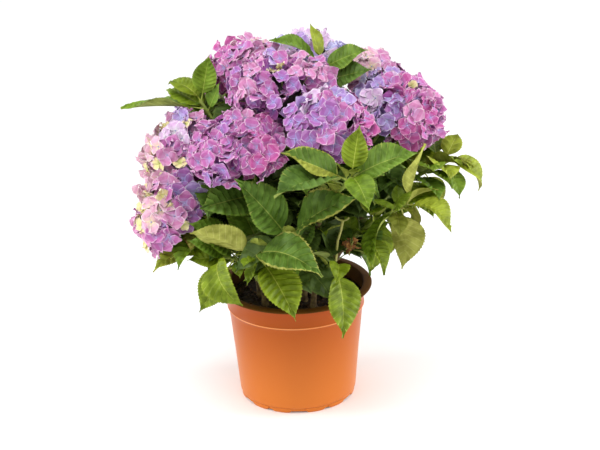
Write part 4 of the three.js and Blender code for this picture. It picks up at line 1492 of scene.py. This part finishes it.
def heart(centre, axes, halves, flatter):
    """A closed ball inside the head, where stalks and shadow close the view."""
    rows, columns = 9, 16
    polar = np.linspace(0.02, math.pi - 0.02, rows)[:, None]
    around = np.linspace(0, 2 * math.pi, columns, endpoint=False)[None]
    ball = [np.cos(around) * np.sin(polar), np.sin(around) * np.sin(polar), np.cos(polar) + 0 * around]
    points = centre + (np.stack(ball, axis=-1) * halves) @ axes * flatter
    return points.reshape(-1, 3), grid_faces(rows, columns, closed=True), tint_slots["shadow"]


blossom = {side: [] for side in SIDES_OF_BUSH}
for shoot in shoots:
    if shoot.head:
        blossom[side_of(shoot)] += head_parts(shoot)
for side, parts in blossom.items():
    nodes = ["flower_" + shoot.name for shoot in shoots if shoot.head and side_of(shoot) == side]
    build_piece("blossom_" + side, parts, flower_materials, nodes)

# %% [markdown]
# ## Remains of an old flower head
# Low at the right a cut stalk with its two bare petioles stands among the leaves, beside the dry brown
# sepals of an earlier head. They are made with the same tube and sepal as the living ones, only small,
# brown and curled in hard. The stalk grows from the nearest stem.

# %% Build the remains
DRY_COUNT = 16
DRY_SPREAD = 7
DRY_SIZES = (6, 11)
DRY_CUPS = (0.6, 1.6)
DRY_SEED = 11
dry_stalk = mottled("drying_stalk", ("#a3a650", "#bcb86a"), 5, 1.0, 0.15, 0.6)
dry_petal = mottled("dry_brown_sepal", ("#6b4018", "#a8743a"), 4, 0.8, 0.3, 0.75)


def thin_stalk(points, radii):
    """A stalk through a few points."""
    centres = np.array(points, dtype=float)
    way = unit(centres[-1] - centres[0])
    across = unit(np.cross(way, level_right + 0.3 * UP))
    return tube(centres, (across, np.cross(way, across)), radii, 0, 6)


def nearest_stem(point):
    """The place on any shoot's line that is nearest to a point."""
    lines = np.concatenate([shoot.at(np.linspace(0.2, shoot.leafy_to, 60))[0] for shoot in shoots])
    return lines[np.argmin(np.linalg.norm(lines - point, axis=1))]


def dry_remains(rng):
    """The forked stalk, and the dry sepals on short stalks of their own."""
    root, fork, *ends = OLD_STALK
    low = root - [3, 0, 30]
    rising = [nearest_stem(low), low, root, (root + fork) / 2 + [1, 0, 0], fork]
    yield thin_stalk(rising, [2.2, 2.2, 2.1, 2.0, 2.4])
    for end in ends:
        yield thin_stalk([fork, (fork + end) / 2 + [0, -1, -1], end], [1.7, 1.3, 1.8])
    stem = nearest_stem(DRY_SEPALS)
    yield thin_stalk([stem, (stem + DRY_SEPALS) / 2, DRY_SEPALS], [1.4, 1.2, 0.9])
    for _ in range(DRY_COUNT):
        place = DRY_SEPALS + rng.normal(0, DRY_SPREAD, 3)
        facing = unit(rng.normal(0, 1, 3))
        beside = unit(np.cross(facing, UP))
        axes = (beside, np.cross(facing, beside), facing)
        yield thin_stalk([DRY_SEPALS, (place + DRY_SEPALS) / 2 + [0, 0, 1], place], [0.7, 0.6, 0.5])
        angle, size, cup = rng.uniform(0, 360), rng.uniform(*DRY_SIZES), rng.uniform(*DRY_CUPS)
        yield sepal(place, axes, angle, size, cup, rng), SEPAL_FACES, 1


dry_parts = list(dry_remains(np.random.default_rng(DRY_SEED)))
build_piece("dry_flower_remains", dry_parts, [dry_stalk, dry_petal])

# %% [markdown]
# ## The pot
# A nursery pot is thin polypropylene, injection moulded in one shot and left as it comes from the
# tool: satin, slightly waxy, with no paint. This kind is terracotta orange outside and brown inside and
# on its lip. It is a lathe form with a draft of a few degrees, a step below the rim that lets pots
# stack, and a ring of low feet with gaps for the water.

# %% Pot finishes
# The grain of the moulded skin and its depth, in millimetres, and the plastic's refraction
SKIN = (1.4, 0.05)
PLASTIC_IOR = 1.49


def shade_graded_plastic(name, foot_colour, lip_colour, roughness, gloss):
    """Polypropylene painted darker towards the lip and paler towards the foot: painted shade under the
    foliage and painted light from the floor.
    """
    material, tree, place = grained(name, *SKIN, roughness, PLASTIC_IOR, gloss)
    height = add_node(tree, "ShaderNodeSeparateXYZ", {"Vector": place}).outputs["Z"]
    limits = {"Value": height, "From Min": 0.0, "From Max": POT_HEIGHT * MM}
    share = add_node(tree, "ShaderNodeMapRange", limits).outputs["Result"]
    tone_ramp(tree, share, (foot_colour, lip_colour), (0, 1))
    return material


def even_plastic(name, tones, spot, roughness, gloss):
    """Polypropylene of one colour, a little cloudy."""
    return mottled(name, tones, spot, *SKIN, roughness, PLASTIC_IOR, gloss)


# The terracotta is painted darker towards the lip, as painted shade under the foliage, and paler towards
# the foot, as painted light from the floor
terracotta_plastic = shade_graded_plastic("terracotta_polypropylene_painted_shade", "#d0762e", "#9b4002", 0.34, 0.18)
# A paler terracotta that paints a highlight: the thin bright line along the step's bead and the lower rim
# of the feet
edge_highlight = even_plastic("terracotta_painted_highlight", ("#d68044", "#e09052"), 40, 0.35, 0.3)
brown_plastic = even_plastic("moulded_brown_polypropylene", ("#51320b", "#5d3b0f"), 60, 0.65, 0.08)
pot_finishes = [terracotta_plastic, brown_plastic, edge_highlight]
print("pot finishes:", len(pot_finishes))


# %% Build the pot
POT_SIDES = 160
# Where the feet end inside the pot's base, the bevel of their edges, the lower edge of the ring behind
# them, and the two lobes of a foot in degrees
FOOT_TOP = 6.6
FOOT_BEVEL = 0.8
FOOT_STATIONS = 18
RING_FOOT = 2.6
LOBES = ((6.8, 28.3), (31.7, 53.2))


def arc(middle, radius, start, end, count=6):
    """Points on an arc of a profile, in degrees from the outward direction."""
    angles = np.radians(np.linspace(start, end, count))
    return [(middle[0] + radius * math.cos(a), middle[1] + radius * math.sin(a)) for a in angles]


def pot_profile():
    """The pot's section from the middle of its underside, up the outside and down the inside."""
    step = POT_HEIGHT - BAND_HEIGHT
    under = POT_HEIGHT - LIP_THICKNESS
    outside = [(0.5, 0), (29, 0), (30, 0.3), (33, FOOT_HEIGHT), (80, FOOT_HEIGHT)]
    outside += arc((BASE_RADIUS - BASE_ROUND + 0.2, FOOT_HEIGHT + BASE_ROUND), BASE_ROUND, -90, -4)
    outside += [(94, 76), (STEP_RADIUS - 0.3, step - 9), (STEP_RADIUS + 0.2, step - 5)]
    bead = STEP_RADIUS + BAND_STEP
    outside += [(bead + 0.2, step - 1.2), (bead + 1.2, step - 0.2)]
    outside += [(bead + 0.9, step + 0.9), (bead, step + 2.4)]
    outside += [(WALL_RADIUS - 0.1, under - 1.2), (WALL_RADIUS + 0.8, under - 0.3)]
    lip = arc((LIP_RADIUS - 1.3, under + 0.6), 1.3, -90, 70)
    lip += [(LIP_RADIUS - 2, POT_HEIGHT), (WALL_RADIUS + 2, POT_HEIGHT - 0.3)]
    lip += arc((WALL_RADIUS - 0.4, POT_HEIGHT - 1.7), 1.5, 90, 180, 4)
    inside = [(STEP_RADIUS + BAND_STEP - WALL, step), (STEP_RADIUS - WALL, step - BAND_STEP)]
    inside += [(BASE_RADIUS - WALL, FOOT_HEIGHT + BASE_ROUND + WALL)]
    inside += [(BASE_RADIUS - WALL - 4, FOOT_HEIGHT + WALL), (0.5, FOOT_HEIGHT + WALL)]
    return outside + lip + inside, len(outside), outside.index((bead + 0.2, step - 1.2))


def foot(start, end):
    """One low foot along an arc of the ring, in degrees, with a scalloped outline."""
    stations = np.linspace(start, end, FOOT_STATIONS)
    inner = FOOT_RADIUS - FOOT_WALL
    section = [(FOOT_RADIUS, FOOT_TOP), (FOOT_RADIUS, FOOT_BEVEL), (FOOT_RADIUS - FOOT_BEVEL, 0)]
    section += [(inner + FOOT_BEVEL, 0), (inner, FOOT_BEVEL), (inner, FOOT_TOP)]
    points = []
    for share, azimuth in zip(np.linspace(-1, 1, len(stations)), stations):
        lift = 1 - 0.75 * abs(share) ** 8
        for radius, height in section:
            points.append(outwards(azimuth) * radius + UP * (FOOT_TOP - (FOOT_TOP - height) * lift))
    # The bevels and underside of a foot take the pale edge finish, a painted highlight on its lower rim
    shades = np.tile([0, 2, 2, 2, 0, 0], len(stations) - 1)
    return np.array(points), grid_faces(len(stations), len(section), closed=True), shades


def end_caps(points, columns):
    """Flat six-sided faces that close the two ends of a foot."""
    first = np.arange(columns)[None]
    return np.concatenate([first[:, ::-1], first + len(points) - columns])


def ring_behind_feet():
    """The shallow ring that joins the feet, seen through the gaps between them."""
    outer, inner = FOOT_RADIUS - 1, FOOT_RADIUS - FOOT_WALL + 1
    section = [(outer, FOOT_TOP), (outer, RING_FOOT), (inner, RING_FOOT), (inner, FOOT_TOP)]
    return lathe(section, POT_SIDES, np.zeros(3, dtype=int))


profile, outer_bands, bead_band = pot_profile()
bands = np.where(np.arange(len(profile) - 1) < outer_bands, 0, 1)
# The bead at the step takes the pale edge finish, a painted highlight along it
bands[bead_band : bead_band + 2] = 2
pot_parts = [lathe(profile, POT_SIDES, bands), ring_behind_feet()]
for turn in range(0, 360, 360 // FEET):
    for start, end in LOBES:
        lobe = foot(start + turn, end + turn)
        pot_parts += [lobe, (lobe[0], end_caps(lobe[0], 6), 0)]
build_piece("pot_shell", pot_parts, pot_finishes, ["pot"], sharp=50)

# %% [markdown]
# ## The soil
# Potting soil is dark peat with crumbs, fibres and a few pale grains in it. A smooth disc would look
# like felt, so the surface is a field of small mounds with hundreds of loose crumbs half sunk in it.

# %% Build the soil
peat = mottled("moist_peat", ("#1b120c", "#3a281b"), 5, 1.0, 1.0, 0.95)
fibre = mottled("bark_crumb", ("#3b2616", "#5e4027"), 4, 0.8, 0.6, 0.9)
# The soil's outermost ring, and the rings and sides of its grid
SOIL_RADIUS = 99.4
SOIL_RINGS = 56
SOIL_SIDES = 128
# The loose crumbs: how many, how far out, their sizes before they vary, and the share that is bark
CRUMBS = 900
CRUMBS_WITHIN = 97
CRUMB_SIZES = (0.8, 2.6)
BARK_SHARE = 0.25
CRUMB_SEED = 5


def soil_height(x, y):
    """The height of the soil's surface: a low mound with small lumps."""
    radius = np.hypot(x, y)
    mound = np.interp(radius, [0, SOIL_PLATEAU, 99], [SOIL_TOP, SOIL_TOP, SOIL_EDGE])
    lumps = np.sin(x * 0.31 + 1.3 * np.sin(y * 0.17)) + np.sin(y * 0.37 + 1.7 * np.sin(x * 0.13))
    grains = np.sin(x * 0.9 + 2 * np.sin(y * 0.7)) * np.sin(y * 1.1 + 2 * np.sin(x * 0.5))
    return mound + 0.7 * lumps + 0.5 * grains - 0.8


def soil_surface():
    """A round grid of points on the soil's surface, closed by three rings deep in the pot."""
    radii = np.concatenate([np.linspace(0.5, SOIL_RADIUS, SOIL_RINGS), [97, 84, 0.5]])
    angle = np.linspace(0, 2 * math.pi, SOIL_SIDES, endpoint=False)
    x, y = radii[:, None] * np.sin(angle), -radii[:, None] * np.cos(angle)
    heights = soil_height(x, y)
    heights[-3:] = np.array([120, FOOT_HEIGHT + 4, FOOT_HEIGHT + 4])[:, None]
    points = np.stack([x, y, heights], axis=-1).reshape(-1, 3)
    return points, grid_faces(len(radii), SOIL_SIDES, closed=True), 0


def crumb_shape():
    """The corners and faces of an icosahedron."""
    long = (1 + math.sqrt(5)) / 2
    corners = []
    for a in (-1, 1):
        for b in (-long, long):
            corners += [(0, a, b), (a, b, 0), (b, 0, a)]
    corners = np.array(corners)
    apart = np.linalg.norm(corners[:, None] - corners[None], axis=2)
    near = np.isclose(apart, 2)
    faces = []
    for i in range(12):
        for j in range(i):
            faces += [(i, j, k) for k in range(j) if near[i, j] and near[j, k] and near[i, k]]
    return corners / math.hypot(1, long), np.array(faces)


def crumbs(count, rng):
    """Loose crumbs of many sizes on the surface."""
    corners, faces = crumb_shape()
    for _ in range(count):
        radius, angle = CRUMBS_WITHIN * math.sqrt(rng.uniform()), rng.uniform(0, 2 * math.pi)
        x, y = radius * math.cos(angle), radius * math.sin(angle)
        size = rng.uniform(*CRUMB_SIZES) ** 1.3
        points = corners * rng.uniform(0.6, 1.2, (12, 1)) * size
        points = points * rng.uniform([0.7, 0.7, 0.5], [1.3, 1.3, 0.9])
        spin = rng.uniform(0, math.pi)
        wide, long, tall = points.T
        c, s = math.cos(spin), math.sin(spin)
        points = np.stack([wide * c - long * s, wide * s + long * c, tall], axis=1)
        middle = np.array([x, y, soil_height(x, y) + 0.3 * size])
        yield points + middle, faces, int(rng.uniform() < BARK_SHARE)


soil_parts = [soil_surface(), *crumbs(CRUMBS, np.random.default_rng(CRUMB_SEED))]
build_piece("potting_soil", soil_parts, [peat, fibre], ["soil"], sharp=35)

# %% [markdown]
# ## The stage and the light
# The photograph is a cut-out on white with a soft shadow under the pot. A pale floor, an even white
# sky and large soft lamps give the same: one above and in front for the leaves' shine, and one tall
# lamp at each side, which draws the pale line down both edges of the pot.

# %% Floor and lamps
FLOOR_HALF = 8
SKY = 1.02
LAMPS_FACE = np.array([0, 0, 0.3])

bpy.context.scene.view_settings.view_transform = "Standard"
floor_material, floor_shader = new_material("plain_pale_floor", 0.9)
floor_shader.inputs["Base Color"].default_value = paint("#fcfcfc")
floor_mesh = bpy.data.meshes.new("floor")
corners = [(x * FLOOR_HALF, y * FLOOR_HALF, 0) for x, y in ((-1, -1), (1, -1), (1, 1), (-1, 1))]
floor_mesh.from_pydata(corners, [], [(0, 1, 2, 3)])
floor_mesh.materials.append(floor_material)
floor = bpy.data.objects.new("floor", floor_mesh)
bpy.context.scene.collection.objects.link(floor)
floor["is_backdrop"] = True

world = bpy.data.worlds.new("even_white_sky")
world.use_nodes = True
world.node_tree.nodes["Background"].inputs["Color"].default_value = (1, 1, 1, 1)
world.node_tree.nodes["Background"].inputs["Strength"].default_value = SKY
bpy.context.scene.world = world


def soft_lamp(name, place, width, height, power):
    """A rectangular lamp that faces the plant, in metres and watts."""
    data = bpy.data.lights.new(name, "AREA")
    data.shape, data.size, data.size_y, data.energy = "RECTANGLE", width, height, power
    back = unit(np.array(place, dtype=float) - LAMPS_FACE)
    beside = unit(np.cross(UP, back))
    stand(name, data, place, [beside, np.cross(back, beside), back])


soft_lamp("top_softbox", (-0.4, -0.8, 1.9), 1.1, 1.1, 16)
soft_lamp("left_strip", (-1.5, -0.1, 0.6), 0.5, 1.4, 10)
soft_lamp("right_strip", (1.5, 0.0, 0.6), 0.7, 1.4, 15)
print("lamps ready")

# %% Compare the sizes and finish
visual_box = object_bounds()
sizes = {"cad": [list(corner) for corner in cad_box], "visual": [list(corner) for corner in visual_box]}
print("solids:", [[round(v, 3) for v in corner] for corner in sizes["cad"]])
print("visual:", [[round(v, 3) for v in corner] for corner in sizes["visual"]])
